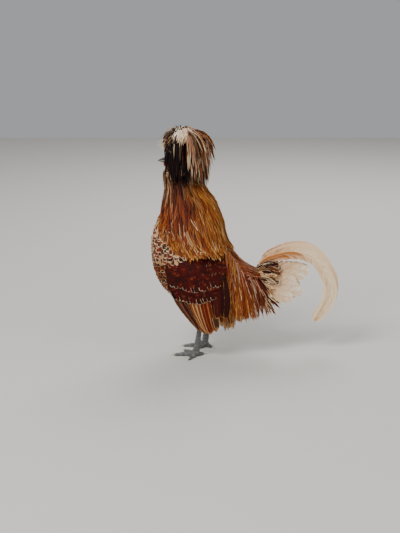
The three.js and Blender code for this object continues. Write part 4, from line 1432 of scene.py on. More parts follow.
    def covert(self, rng: Rng, row: int, roots: Array) -> Dye:
        """Colours of one row of coverts.

        Args:
            rng: the draws.
            row: the row's number, from the lowest, 0.
            roots: the feathers' places on the wing.

        Returns:
            The colouring.
        """
        n = len(roots)
        dark = pick(rng, n, MAROON=3, OXBLOOD=3, SOOT=1)
        if row in self.laced:
            return Dye(dark, pick(rng, n, CREAM=3, ROSE=3, BUFF=1), lace=0.15, tip=0.022)
        edge = pick(rng, n, OXBLOOD=8, MAROON=3, RUSSET=2)
        ground = pick(rng, n, OXBLOOD=6, MAROON=5 if row > self.laced[1] else 12)
        shaft = pick(rng, n, ROSE=1, CREAM=1)
        pale = (rng.uniform(size=n) < 0.4 * rise(roots[:, 1], 0.5, 0.75)) & (row > 2)
        return Dye(ground, edge, shaft, 0.2, 0.1, np.where(pale, 0.1, 0.0))


@dataclass
class Saddle:
    """Saddle: long narrow feathers from the back over the flanks."""

    stations: tuple[Stations, ...] = (
        ((56, 0, 226), (60, 44, 203), (62, 59, 146), (58, 54, 64)),
        ((73, 0, 196), (78, 40, 181), (82, 58, 137), (82, 54, 72)),
        ((88, 2, 186), (96, 34, 171), (106, 48, 130), (108, 44, 68)),
        ((98, 8, 181), (110, 27, 166), (127, 35, 128), (140, 29, 83)))

    @staticmethod
    def dye(rng: Rng, roots: Array) -> Dye:
        """Colours of saddle feathers.

        Args:
            rng: the draws.
            roots: their places down the skirt and along the back.

        Returns:
            The colouring.
        """
        n = len(roots)
        low, rear = roots[:, 0] + rng.normal(0, 0.05, n), roots[:, 1] + rng.normal(0, 0.08, n)
        ground = mixed(pick(rng, n, RUST=3, RUSSET=3, CHESTNUT=1), pick(rng, n, MAHOGANY=3, RUSSET=2),
                       rise(-low, -0.3, -0.1))
        dye = Dye(ground, pick(rng, n, TAN=3, CHESTNUT=3, RUSSET=2, ROSE=2))
        dye.lay(rng, rise(-rear, -0.5, -0.3) * rise(low, 0.08, 0.22),
                dict(RUST=2, RUSSET=3, MAHOGANY=1), dict(GOLD=4, STRAW=1, TAN=1, CHESTNUT=2, RUST=4))
        dye.lay(rng, rise(rear, 0.5, 0.75), dict(MAHOGANY=3, MAROON=3, RUSSET=1),
                dict(ROSE=4, CREAM=2, RUST=2, RUSSET=4, MAHOGANY=2))
        dye.shaft = pick(rng, n, ROSE=2, STRAW=2)
        dye.lace = 0.24 + rng.uniform(-0.1, 0.16, n)
        dye.tip = 0.06 + rng.uniform(0, 0.06, n)
        dye.streak = rng.choice([0, 0, 0.25], n)
        return dye

    def build(self, name: str, side: int, finish: Material) -> None:
        """Grows the saddle of one side.

        Args:
            name: left or right.
            side: -1 or 1.
            finish: the feathers' material.
        """
        rng = draws(9 + side)
        s = Surface(np.swapaxes(swept(self.stations), 0, 1) * (1, side, 1))
        coat = Coat(f"saddle_coat_{name}", "saddle_plumage", [], finish)
        roots = s.rooted(rng, (0.0, 0.55, 6.0), (-0.22, 1.0, 4.8))
        n = len(roots)
        lengths = np.minimum(rng.uniform(62, 112, n), s.room(roots) + rng.uniform(-4, 7, n))
        lines = lie(s, roots, lengths, rng.normal(0.06, 0.11, n), Shape.HACKLE,
                    6.0, -0.4 + rng.uniform(-1.6, 0.4, n), rng.uniform(-0.5, 0.6, n))
        widths = rng.uniform(4.6, 7.2, n) + 2 * rise(roots[:, 1], 0.6, 0.9)
        coat.grow(rng, Shape.HACKLE, lines, widths, np.clip(roots, 0, 1), self.dye(rng, roots))
        coat.dress()


@dataclass
class Thigh:
    """A thigh in its soft feathers, down to the hock."""

    name: str
    side: int
    foot_x: float
    spread: float = 30.0
    profile: Stations = ((136, 110, 91, 76), (-5, -4, 4, 10), (30, 28, 18, 9))

    def point(self, t: Array, angle: Array, growth: float = 0.0) -> Array:
        """Points on the thigh.

        Args:
            t: from the top, 0, to the hock, 1.
            angle: round the thigh, from the front.
            growth: how far outside its surface, in mm.

        Returns:
            The points.
        """
        z, x, radius = (np.interp(t, (0, 0.4, 0.76, 1), values) for values in self.profile)
        reach = np.maximum(radius + growth, 1.5)
        return joined(self.foot_x + x - np.cos(angle) * reach,
                      self.side * self.spread + np.sin(angle) * reach * 0.78, z)

    def build(self, finish: Material) -> None:
        """Grows the thigh's feathers.

        Args:
            finish: their material.
        """
        rng = draws(21 + self.side)
        s = Surface.wrapped(self.point, 49, 65)
        coat = Coat(f"thigh_coat_{self.name}", "thigh_plumage", [f"thigh_{self.name}"], finish)
        roots = s.rooted(rng, (0.0, 0.86, 6.0), (0.0, 1.0, 6.5))
        n = len(roots)
        lengths = np.minimum(rng.uniform(15, 24, n), s.room(roots) + 1)
        lines = lie(s, roots, lengths, rng.normal(0, 0.2, n), Shape.FLUFF, 3.0, rng.uniform(-0.5, 0.8, n),
                    rng.uniform(0, 1.2, n))
        dye = Dye.drawn(rng, n, dict(BUFF=3, BROWN=2, GOLD=1, CHESTNUT=1), dict(CREAM=2, BUFF=2), tip=0.2)
        coat.grow(rng, Shape.FLUFF, lines, rng.uniform(7, 10, n), roots % 1.0, dye)
        coat.dress()


@dataclass
class Crest:
    """Crest: feathers that arch from the crown and fall on every side."""

    axis: Triple = (-42, 0, 424)
    spread: Triple = (37, 45, 56)
    hem: Triple = (419, 350, 340)
    yaw: float = HEAD_YAW
    count: int = 1250

    def station(self, way: Array, reach: Array, height: Array) -> Array:
        """Points at distances from the crest's axis and at heights."""
        up = np.array([0, 0, 1.0])
        return np.asarray(self.axis) * (1, 1, 0) + way * reach[:, None] + up * height[:, None]

    def lines(self, rng: Rng, angle: Array, low: Array) -> Lines:
        """Mid lines of crest feathers.

        Args:
            rng: the draws.
            angle: each feather's heading, 0 at the front.
            low: 0 for the innermost and highest, 1 for the outermost and lowest.

        Returns:
            Mid lines and outward directions.
        """
        n = len(angle)
        root, sink, peak, reach, bend, lift = (np.interp(low, (0, 0.5, 1), values) for values in (
            (5, 11, 17), (2, 0, -5), (38, 30, 20), (1.0, .95, .93), (13, 3, -9), (52, 24, 0)))
        spread = round_about(*self.spread, angle) * reach * rng.uniform(0.86, 1.04, n)
        away = np.abs((angle - self.yaw + math.pi) % FULL_TURN - math.pi)
        front, side, back = self.hem
        drop = front + (side - front) * rise(away, 0.85, 1.75) + (back - side) * rise(away, 1.75, 3.1) + lift
        tip = np.minimum(drop + 50 * rng.uniform(0, 1, n) ** 3 * rise(away, 1.7, 2.4), self.axis[2] + 6)
        tip = tip + rng.uniform(-3, 16, n)
        shoulder = np.maximum(tip + 8, self.axis[2] + bend)
        heading = level(angle)
        falling = level(angle + rng.normal(0, 0.2, n))
        splay = rng.uniform(0, 1, n) ** 3 * 7 * rise(away, 1.6, 2.2)
        crown = self.axis[2] + peak + rng.uniform(-5, 1, n)
        paths = through(Shape.CREST, (
            self.station(heading, root, self.axis[2] + sink),
            self.station(heading, root + spread * 0.22, crown),
            self.station(falling, spread * 0.86, shoulder), self.station(falling, spread + splay, tip)))
        steps = np.linspace(0, 1, paths.shape[1])
        wave = np.sin(steps[None] * rng.uniform(2, 7, (n, 1)) + rng.uniform(0, 6, (n, 1)))
        sideways = alike(np.cross(heading, (0, 0, 1.0)), paths)
        paths = paths + sideways * (wave * np.linspace(0, 2.2, len(steps)))[..., None]
        onwards = unit(np.gradient(paths, axis=1))
        twist = rng.normal(0, 0.55, (n, 1)) * steps
        return paths, unit(np.cross(sideways, onwards) + sideways * twist[..., None])

    @staticmethod
    def dye(rng: Rng, angle: Array, low: Array) -> Dye:
        """Colours of crest feathers, with painted shade on the lowest ones at the rear.

        Args:
            rng: the draws.
            angle: each feather's heading, 0 at the front.
            low: 0 for the highest feathers, 1 for the lowest.

        Returns:
            The colouring.
        """
        n = len(angle)
        turn = np.abs(angle) / math.pi + rng.normal(0, 0.03, n)
        rear = rise(turn, 0.61, 0.68)
        dye = Dye.drawn(rng, n, dict(UMBER=2, BROWN=3, SOOT=1, ASH=1), dict(BUFF=2, BROWN=3, ASH=2, ROSE=1))
        dye.lay(rng, rise(turn, 0.17, 0.25), dict(BLACK=5, SOOT=4, MAROON=1), dict(BLACK=5, SOOT=5, UMBER=2))
        dye.lay(rng, rear, dict(CHESTNUT=2, RUSSET=4, RUST=2, BROWN=2, UMBER=1),
                dict(CREAM=3, ROSE=5, CHESTNUT=3, RUST=2, BROWN=1))
        # painted shade: the lowest feathers at the rear go ash, umber and black
        dye.lay(rng, rise(low, 0.68, 0.9) * rear, dict(ASH=2, UMBER=3, BLACK=3),
                dict(UMBER=4, BLACK=3, ASH=2, CREAM=2))
        pale = rise(turn, 0.58, 0.62) * rise(-turn, -0.74, -0.68) * rise(low, 0.3, 0.5)
        dye.streak = np.where(rng.uniform(size=n) < 0.01 + 0.08 * rear + 0.36 * pale, 0.6, 0.0)
        dye.shaft = pick(rng, n, WHITE=2, CREAM=2)
        dye.lace = 0.2 + rng.uniform(-0.08, 0.12, n)
        dye.tip = 0.05 + rng.uniform(0, 0.08, n)
        return dye

    def fountain(self, rng: Rng, angle: Array, levels: Stations) -> Lines:
        """Mid lines that rise from the crown and fall outwards.

        Args:
            rng: the draws.
            angle: each feather's heading.
            levels: for each station the least and greatest distance from the axis and height.

        Returns:
            Mid lines and outward directions.
        """
        n = len(angle)
        share, drift, stations = rng.uniform(size=n), rng.normal(0, 0.08, n), []
        for k, (near, far, low, high) in enumerate(levels):
            reach = near + (far - near) * share + rng.normal(0, 0.8, n)
            up = share + rng.uniform(-0.25, 0.25, n) if k == 2 else rng.uniform(size=n)
            stations.append(self.station(level(angle + drift * k), reach, low + (high - low) * up))
        paths = through(Shape.CREST, stations)
        sideways = alike(joined(np.sin(angle), np.cos(angle), np.zeros(n)), paths)
        facing = np.cross(np.gradient(paths, axis=1), sideways)
        facing *= np.sign(facing[..., 2:] + 1e-6)
        return paths, unit(unit(facing) + rng.normal(0, 0.25, (n, 1, 3)))

    def crown(self, coat: Coat, rng: Rng) -> None:
        """Adds the tufts on the crown, the long feathers that sweep back, and the wisps in front.

        Args:
            coat: the piece that gets them.
            rng: the draws.
        """
        fan = ((1, 6, 448, 455), (8, 18, 453, 462), (18, 30, 444, 456), (26, 42, 429, 446))
        cream, worn = dict(CREAM=4, WHITE=4, ROSE=1), dict(BUFF=1, ROSE=3, CREAM=3, CHESTNUT=1)
        groups = (
            (190, (-math.pi, math.pi), ((0, 10, 443, 450), (5, 17, 452, 461), (13, 32, 463, 441)), (2.0, 3.8),
             dict(UMBER=3, BLACK=3, BROWN=1, SOOT=1), dict(BUFF=1, BROWN=3, UMBER=4, ASH=2)),
            (170, (-2.9, -1.45), fan, (2.4, 4.2), cream, worn),
            (170, (1.45, 2.9), fan, (2.4, 4.2), cream, worn),
            (40, (-1.2, 1.2), fan, (1.6, 2.8), cream, dict(BUFF=2, ASH=2, BROWN=1)),
            (200, (1.9, 4.4), ((4, 10, 445, 452), (20, 28, 449, 458), (40, 50, 432, 447), (50, 68, 385, 428)),
             (2.8, 5.2), dict(CHESTNUT=2, RUST=2, BROWN=3, CREAM=1),
             dict(CREAM=2, ROSE=2, TAN=2, BROWN=3, RUST=2)),
            (80, (-0.2, 0.9), ((8, 14, 438, 446), (22, 28, 438, 449), (30, 40, 412, 436)), (2.6, 4.4),
             dict(BROWN=3, BUFF=2, UMBER=2), dict(ROSE=3, CREAM=2, BUFF=2)),
            (12, (-0.3, 0.8), ((8, 14, 434, 442), (24, 30, 430, 442), (40, 54, 415, 432)), (1.2, 2.2),
             cream, cream))
        for n, span, levels, widths, ground, edge in groups:
            angle = rng.uniform(*span, n)
            dye = Dye.drawn(rng, n, ground, edge)
            dye.shaft = pick(rng, n, WHITE=1)
            dye.lace, dye.tip = rng.uniform(0.12, 0.4, n), rng.uniform(0.04, 0.2, n)
            dye.streak = np.where(rng.uniform(size=n) < 0.2, 0.3, 0.0)
            coat.grow(rng, Shape.CREST, self.fountain(rng, angle, levels), rng.uniform(*widths, n),
                      disc(angle, 0.05, -1), dye)

    def build(self, finish: Material) -> None:
        """Grows the crest.

        Args:
            finish: the feathers' material.
        """
        rng = draws(31)
        coat = Coat("crest_coat", "crest_plumage", ["crest"], finish)
        order = np.arange(self.count)
        angle = (order * GOLDEN_ANGLE + rng.normal(0, 0.05, self.count)) % FULL_TURN
        angle = np.where(angle > math.pi, angle - FULL_TURN, angle)
        low = 0.08 + 0.92 * np.sqrt((order + 0.5) / self.count)
        lines = self.lines(rng, angle, low)
        widths = rng.uniform(3.6, 7.0, self.count) * (1 - 0.3 * rise(np.abs(np.cos(angle)), 0.4, 0.8))
        coat.grow(rng, Shape.CREST, lines, widths, disc(angle, 0.45 * low), self.dye(rng, angle, low))
        coat.dress()
        top = Coat("crest_top_coat", "crest_plumage", [], finish)
        self.crown(top, rng)
        top.dress()


@dataclass
class Tail:
    """One side of the tail: broad main feathers, coverts over their roots, and a long sickle."""

    name: str
    side: int
    rectrices: tuple[Stations, ...] = (
        ((117, 7, 173), (165, 9, 179), (213, 12, 173)), ((118, 8, 170), (160, 12, 171), (203, 17, 163)),
        ((118, 8.5, 166), (155, 15, 161), (186, 21, 153)), ((118, 9, 162), (152, 18, 150), (192, 23, 143)),
        ((117, 9, 158), (148, 20, 139), (198, 26, 134)), ((116, 9, 155), (143, 22, 129), (180, 28, 123)))
    coverts: tuple[Stations, ...] = (
        ((110, 8, 178), (128, 13, 192), (149, 15, 196)), ((111, 9, 175), (133, 17, 187), (159, 20, 175)),
        ((112, 10, 171), (134, 20, 174), (158, 23, 161)), ((113, 11, 167), (132, 21, 162), (149, 25, 147)))
    sickle: Stations = (
        (115, 182, 9, 3.5), (130, 199, 18, 5), (151, 207, 25, 7), (184, 214, 29, 9), (211, 210, 29, 10),
        (230, 198, 26, 10.5), (249, 171, 22, 11), (260, 140, 17, 11), (255.5, 110, 15, 10), (241, 84, 11, 8),
        (227, 67, 3, 6))
    sickle_offset: float = 3.5
    sickle_steps: int = 60

    def fan(self, paths: Array, rows: int = Shape.FLIGHT.value.rows) -> Lines:
        """Mid lines through stations on this side, facing outwards."""
        lines = curve(paths * (1, self.side, 1), np.linspace(0, 1, rows + 1))
        return lines, np.broadcast_to(unit(np.array([0, self.side, 0.1])), lines.shape).copy()

    @staticmethod
    def plume(coat: Coat, rng: Rng, line: Lines, half: Array, count: int, tones: Tones, roots: Pair) -> None:
        """Adds one long soft feather: its barbs, a thin web and its shaft.

        Args:
            coat: the piece that gets it.
            rng: the draws.
            line: its mid line and outward directions.
            half: its half width at each station.
            count: barbs on one side.
            tones: ground and edge colours at places along and across the feather.
            roots: its place on the unwrap of the skin.
        """
        size = np.linalg.norm(np.diff(line[0], axis=0), axis=1).sum()
        lines, place, aside = barbed(rng, line, half, count, 1.1 * half.max() / size)
        dye = Dye(*tones(rng, place, aside))
        coat.grow(rng, Shape.BARB, lines, rng.uniform(2.0, 2.9, 2 * count) * size / count,
                  joined(place, aside * 0.3 + 0.5), dye)
        for shape, width, rise_up in ((Shape.RECTRIX, 1.86 * half.max(), -1.1), (Shape.HACKLE, 1.5, 0.3)):
            path, facing = (curve(values[None], np.linspace(0, 1, shape.value.rows + 1)) for values in line)
            dye = Dye(*tones(rng, np.full(1, 0.5), np.zeros(1)), lace=0.1, tip=0.05)
            coat.grow(rng, shape, (path + facing * rise_up, facing), np.full(1, width), np.array([roots]),
                      dye)

    def pale(self, rng: Rng, place: Array, aside: Array) -> tuple[Array, Array]:
        """Tones of the main feathers: orange roots, cream middles and white ends, with painted shade in tan
        and peach on the lower edge and on both edges near the root.

        Args:
            rng: the draws.
            place: places along the feather.
            aside: the side of the shaft, -1 or 1.

        Returns:
            Ground and edge.
        """
        n = len(place)
        ground = mixed(pick(rng, n, TAN=3, PEACH=2, BUFF=1), pick(rng, n, CREAM=5, PEACH=1),
                       rise(place + rng.normal(0, 0.05, n), 0.2, 0.5))
        ground = mixed(ground, pick(rng, n, WHITE=3, IVORY=3),
                       rise(place + rng.normal(0, 0.04, n), 0.5, 0.85))
        # painted shade: tan and peach on the lower edge, fading towards the tip, and on both edges near the
        # root, where the feathers overlap
        painted_shade = np.maximum((aside * self.side < 0) * (0.8 - 0.4 * place), np.abs(aside) ** 2 * (1.1 - place))
        ground = mixed(ground, pick(rng, n, TAN=1, PEACH=3, BUFF=3), painted_shade)
        return ground, mixed(ground, pick(rng, n, WHITE=3, CREAM=1), np.full(n, 0.35))

    def warm(self, rng: Rng, place: Array, aside: Array) -> tuple[Array, Array]:
        """Tones of the sickle: orange at the root, the tip and the inner edge, cream elsewhere.

        Args:
            rng: the draws.
            place: places along the feather.
            aside: the side of the shaft, -1 or 1.

        Returns:
            Ground and edge.
        """
        n = len(place)
        ends = np.maximum(0.9 * rise(-place, -0.42, -0.12), rise(place, 0.84, 1.0))
        inwards = 0.4 + 0.7 * rise(-place, -0.45, -0.25)
        inner = 0.3 * rise(-place, -0.4, -0.2) + (aside * self.side < 0) * inwards
        share = np.maximum(ends, inner) + rng.normal(0, 0.06, n)
        ground = mixed(pick(rng, n, IVORY=5, CREAM=1), pick(rng, n, TAN=2, PEACH=4), share)
        return ground, mixed(ground, pick(rng, n, WHITE=1, IVORY=2), np.full(n, 0.25))

    def build(self, long: Material, short: Material) -> None:
        """Builds the main feathers, the coverts and the sickle.

        Args:
            long: the finish of main feathers and sickles.
            short: the finish of coverts.
        """
        rng = draws(41 + self.side)
        coat = Coat(f"tail_coat_{self.name}", "tail_plumage", [f"tail_{self.name}"], long)
        paths, outwards = self.fan(np.array(self.rectrices), 24)
        for path, facing, width in zip(paths, outwards, rng.uniform(22, 27, len(paths))):
            half = np.interp(np.linspace(0, 1, len(path)), *zip(*Shape.RECTRIX.value.outline)) * width / 2
            self.plume(coat, rng, (path, facing), half, 46, self.pale, (0.3, 0.3))
        self.under_tail(coat, rng)
        coat.dress()
        self.build_coverts(short, rng)
        self.build_sickle(long, rng)

    def build_coverts(self, finish: Material, rng: Rng, count: int = 34, loose: int = 8) -> None:
        """Builds the narrow dark coverts with pale edges over the tail's root.

        Args:
            finish: their material.
            rng: the draws.
            count: how many lie in the fan.
            loose: how many lie along the sickle's root.
        """
        coat = Coat(f"tail_covert_coat_{self.name}", "tail_plumage", [], finish)
        t = np.sort(rng.uniform(0, 1, count))
        spread = curve(np.swapaxes(np.array(self.coverts), 0, 1), t).swapaxes(0, 1)
        middle = spread[:, :1] + (spread - spread[:, :1]) * rng.uniform(0.55, 1.05, count)[:, None, None]
        middle = middle + rng.normal(0, 1.0, middle.shape) * (0, 1.0, 1.8)
        ground = mixed(pick(rng, count, BROWN=3, CHESTNUT=2, BUFF=2, MAROON=1),
                       pick(rng, count, BLACK=2, SOOT=2, MAROON=2), rise(-t, -0.5, -0.3))
        dye = Dye(ground, pick(rng, count, CREAM=3, WHITE=1, ROSE=2, TAN=1), lace=0.2, tip=0.04)
        coat.grow(rng, Shape.FLIGHT, self.fan(middle), rng.uniform(5, 8.5, count),
                  joined(t * 0.3 + 0.6, t), dye)
        rails = np.array(self.sickle)[:5, (0, 3, 1)]
        base = rails[None] + rng.normal(0, 1.0, (loose, 1, 3)) * (2, 1.5, 3)
        base = base[:, :1] + (base - base[:, :1]) * rng.uniform(0.5, 1.0, (loose, 1, 1))
        dye = Dye.drawn(rng, loose, dict(CHESTNUT=2, TAN=2, PEACH=1), dict(ROSE=1, PEACH=2), tip=0.05)
        coat.grow(rng, Shape.FLIGHT, self.fan(base), rng.uniform(3.5, 6, loose),
                  np.full((loose, 2), 0.8), dye)
        coat.dress()

    def under_tail(self, coat: Coat, rng: Rng, n: int = 90) -> None:
        """Adds soft feathers from the vent to the underside of the tail.

        Args:
            coat: the piece that gets them.
            rng: the draws.
            n: how many feathers.
        """
        base = joined(rng.uniform(104, 120, n), rng.uniform(0, 14, n) * self.side, rng.uniform(126, 160, n))
        drop = (160 - base[:, 2]) / 34
        length = rng.uniform(24, 42, n)
        way = joined(1 - 0.3 * drop, base[:, 1] / 34, 0.12 - 0.75 * drop)
        tip = base + unit(way + rng.normal(0, 0.1, (n, 3))) * length[:, None]
        paths = through(Shape.FLUFF, (base, (base + tip) / 2 + np.array([2.0, 0, 1.5]), tip))
        facing = unit(np.array([0.2, self.side * 1.0, -0.6]) + rng.normal(0, 0.3, (n, 3)))
        dye = Dye.drawn(rng, n, dict(BROWN=2, RUST=2, BUFF=2, TAN=1), dict(CREAM=2, BUFF=2),
                        lace=0.35, tip=0.2)
        coat.grow(rng, Shape.FLUFF, (paths, alike(facing, paths)), rng.uniform(8, 12, n),
                  joined(length / 60, drop), dye)

    def build_sickle(self, finish: Material, rng: Rng) -> None:
        """Builds one sickle feather, the left one a little inside the right one's curve.

        Args:
            finish: its material.
            rng: the draws.
        """
        steps = np.linspace(0, 1, self.sickle_steps + 1)
        rails = curve(np.array(self.sickle), steps)
        path = joined(rails[:, 0], rails[:, 3] * self.side, rails[:, 1])
        onwards = unit(np.gradient(path, axis=0))
        inwards = joined(onwards[:, 2], 0 * onwards[:, 0], -onwards[:, 0])
        inset = self.side * self.sickle_offset * np.sin(np.linspace(0, math.pi, len(steps)))
        path -= inwards * inset[:, None]
        outwards = np.tile((0.0, float(self.side), 0.0), (len(steps), 1))
        nodes = [f"sickle_{self.name}_{k}" for k in (1, 2, 3)]
        coat = Coat(f"sickle_{self.name}", "tail_plumage", nodes, finish)
        self.plume(coat, rng, (path, outwards), rails[:, 2] / 2, 230, self.warm, (0.5, 0.5))
        coat.dress()


@dataclass
class Head:
    """Head: skull, eyes with lids, beak, comb, wattles and ear lobes."""

    centre: Triple = (-41, 0, 402)
    yaw: float = HEAD_YAW
    skull: Triple = (28, 17, 19)
    eye: float = 4.9

    def point(self, ahead: Values, out: Values, up: Values) -> Array:
        """Points in the head's own directions, turned and placed.

        Args:
            ahead: how far towards the beak, in mm from the head's centre.
            out: how far to the right side.
            up: how far up.

        Returns:
            The points.
        """
        ahead, out, up = np.broadcast_arrays(np.asarray(ahead, float), out, up)
        cos, sin = math.cos(self.yaw), math.sin(self.yaw)
        return joined(-ahead * cos + out * sin, ahead * sin + out * cos, up) + self.centre

    def bulb(self, side: int, ahead: float, out: float, up: float, radii: Sequence[float],
             rings: int = 24, sides: int = 32) -> Mesh:
        """A rounded lump in the head's directions, with a slightly uneven surface.

        Args:
            side: -1 or 1.
            ahead: how far towards the beak its middle lies, in mm.
            out: how far out.
            up: how far up.
            radii: its half sizes.
            rings: faces along it.
            sides: faces round it.

        Returns:
            The mesh.
        """
        spot = self.point(ahead, out * side, up)
        mesh = shell("bulb", ellipsoid(spot, radii, self.yaw), rings, sides)
        for vertex in mesh.vertices:
            push = noise.noise(vertex.co * 0.45) * 0.5 + noise.noise(vertex.co * 1.3) * 0.18
            vertex.co += (vertex.co - Vector(spot)).normalized() * push * min(radii) * 0.25
        return mesh

    def mandible(self, bottom: float, top: float, length: float) -> Place:
        """A place function for one half of the beak.

        Args:
            bottom: its lower edge at the base, in mm.
            top: its upper edge.
            length: how far it reaches.

        Returns:
            Points on the mandible.
        """
        def place(t: Array, angle: Array) -> Array:
            """Points on the mandible, from its base at t 0 to its tip at t 1.

            Args:
                t: shares of its way, 0 to 1.
                angle: turns round it.

            Returns:
                The points in mm.
            """
            reach = t ** 1.2
            taper = np.sqrt(np.maximum(1 - reach ** 1.6, 0)) * opened(t, 0.02)
            up = bottom + (signed(np.sin(angle), 1.15) + 1) / 2 * (top - bottom)
            wide = 6.4 * signed(np.cos(angle), 0.8)
            return self.point(25 + length * reach, wide * taper, -7 - 4 * reach ** 2 + up * taper)
        return place

    def lid(self, side: int) -> Place:
        """A place function for the ring of skin round one eye.

        Args:
            side: -1 or 1.

        Returns:
            Points on the ring.
        """
        def place(t: Array, angle: Array) -> Array:
            """Points on the ring, round the eye with t and round its tube with the angle.

            Args:
                t: shares of its way, 0 to 1.
                angle: turns round it.

            Returns:
                The points in mm.
            """
            turn = FULL_TURN * t
            tube = 1.25 + 0.25 * np.sin(turn * 9)
            reach = self.eye + np.cos(angle) * tube
            return self.point(11 + np.cos(turn) * reach, side * (15.8 + np.sin(angle) * tube),
                              2 + np.sin(turn) * reach * 0.82)
        return place

    def build(self, plumage: Material, skin: Thing) -> None:
        """Builds every piece of the head but the skin.

        Args:
            plumage: the small feathers' finish.
            skin: what they grow on.
        """
        self.beak()
        red = FleshFinish("comb_skin", Tone.COMB_RED, Tone.FACE_RED).make()
        comb = [self.bulb(side, 25, 5, 10, (4.0, 2.8, 6.8)) for side in SIDES.values()]
        comb += [self.bulb(side, 30.5 + 1.5 * k, 5 + 1.6 * k, 13 + 4.2 * k,
                           (3.6 - 0.5 * k, 2.7 - 0.4 * k, 4.5 - 0.3 * k))
                 for side in SIDES.values() for k in range(4)]
        comb.append(self.bulb(1, 24, 0, 8, (4.2, 5.8, 4.2)))
        finished(merged("comb", comb), "comb_flesh", ["comb"], red)
        white = FleshFinish("lobe_skin", Tone.LOBE_WHITE, Tone.ROSE, 0.5).make()
        for name, side in SIDES.items():
            wattle = self.bulb(side, 33, 4.8, -13.5, (6.1, 2.5, 6.5))
            finished(wattle, f"wattle_flesh_{name}", [f"wattle_{name}"], red)
            lobe = self.bulb(side, -3, 16.5, -7, (4.9, 2.1, 5.9))
            finished(lobe, f"earlobe_flesh_{name}", [f"earlobe_{name}"], white)
            finished(shell("lid", self.lid(side), 48, 12), f"eyelid_{name}", [], red)
            spot = self.point(11, 14 * side, 2)
            gaze = unit(self.point(11.5, 15 * side, 2.1) - spot)
            centre = tuple((spot - (CENTRE_X, 0, 0)) * MM)
            finish = EyeFinish(f"eye_{name}", centre, tuple(gaze), self.eye * MM)
            ball = shell("eye", ellipsoid(spot, (self.eye, self.eye, self.eye)), 24, 32)
            finished(ball, f"eye_ball_{name}", [f"eye_{name}"], finish.make())
        self.face(plumage, skin)

    def beak(self) -> None:
        """Builds both halves of the beak, with a pit for each nostril."""
        horn = HornFinish("beak_horn", Tone.BEAK_DARK, Tone.BEAK_TIP).make()
        for name, bottom, top, length in (("beak_upper", 0.3, 8.0, 29.0), ("beak_lower", -4.5, -0.3, 24.6)):
            mesh = shell(name, self.mandible(bottom, top, length), 40, 32)
            for side in SIDES.values():
                pull(mesh.vertices, self.point(33, 5.4 * side, -2.6), 2.6, self.point(33, 0, -3), 1.2)
            finished(mesh, name + "_horn", [name], horn)

    def rooted(self, rng: Rng, skin: Thing) -> tuple[Array, Array, Array]:
        """Casts rays at the head to find where small feathers grow.

        Args:
            rng: the draws.
            skin: what they grow on.

        Returns:
            The roots in mm, the skin's normals there and their places on its unwrap.
        """
        tree = BVHTree.FromObject(skin, bpy.context.evaluated_depsgraph_get())
        found = []
        for z in np.arange(338, 421, 2.6):
            for angle in np.arange(0, FULL_TURN, 0.085) + rng.uniform(0, 0.08):
                turned = angle + self.yaw + rng.normal(0, 0.02)
                way = Vector((-math.cos(turned), math.sin(turned), 0))
                start = Vector(((self.centre[0] - CENTRE_X) * MM, 0, (z + rng.uniform(-1, 1)) * MM))
                hit, normal, _, _ = tree.ray_cast(start + way * 0.09, -way)
                if hit and (z > 354 or math.cos(angle - self.yaw) > 0.3):
                    found.append((hit / MM + Vector((CENTRE_X, 0, 0)), normal,
                                  (angle / FULL_TURN, (z - 350) / 72)))
        at, normals, roots = (np.array(values) for values in zip(*found))
        eyes = [np.linalg.norm((at - self.point(14, 14 * side, 0)) / (1, 1, 0.92), axis=-1)
                for side in SIDES.values()]
        bill = np.linalg.norm(at - self.point(26, 0, -4), axis=-1)
        keep = (np.minimum(*eyes) > 13.0) & (bill > 11.5)
        return at[keep], normals[keep], roots[keep]

    def face(self, plumage: Material, skin: Thing) -> None:
        """Grows the tiny feathers of cheeks, chin, throat and nape.

        Args:
            plumage: their finish.
            skin: what they grow on.
        """
        rng = draws(51)
        at, normals, roots = self.rooted(rng, skin)
        n = len(at)
        back = unit(np.array([0.25, -0.1, -1.0]) + rng.normal(0, 0.2, (n, 3)))
        down = unit(back - normals * (back * normals).sum(axis=1)[:, None])
        steps = np.linspace(0, 1, Shape.SMALL.value.rows + 1)[None, :, None]
        low = rise(-at[:, 2], -385, -360)
        lengths = (rng.uniform(7, 11, n) + 7 * low)[:, None, None]
        paths = at[:, None] + down[:, None] * steps * lengths + normals[:, None] * (steps * 2.2 - 0.9)
        ground = mixed(pick(rng, n, BROWN=3, UMBER=3, RUST=2), pick(rng, n, BROWN=3, ASH=2, BUFF=1), low)
        dye = Dye(ground, pick(rng, n, BUFF=4, CREAM=2, ROSE=1, RUST=2), tip=0.2)
        coat = Coat("face_feathers", "face_skin", [], plumage)
        coat.grow(rng, Shape.SMALL, (paths, alike(normals, paths)), rng.uniform(3.6, 5.0, n) + 2 * low,
                  roots, dye)
        coat.dress()


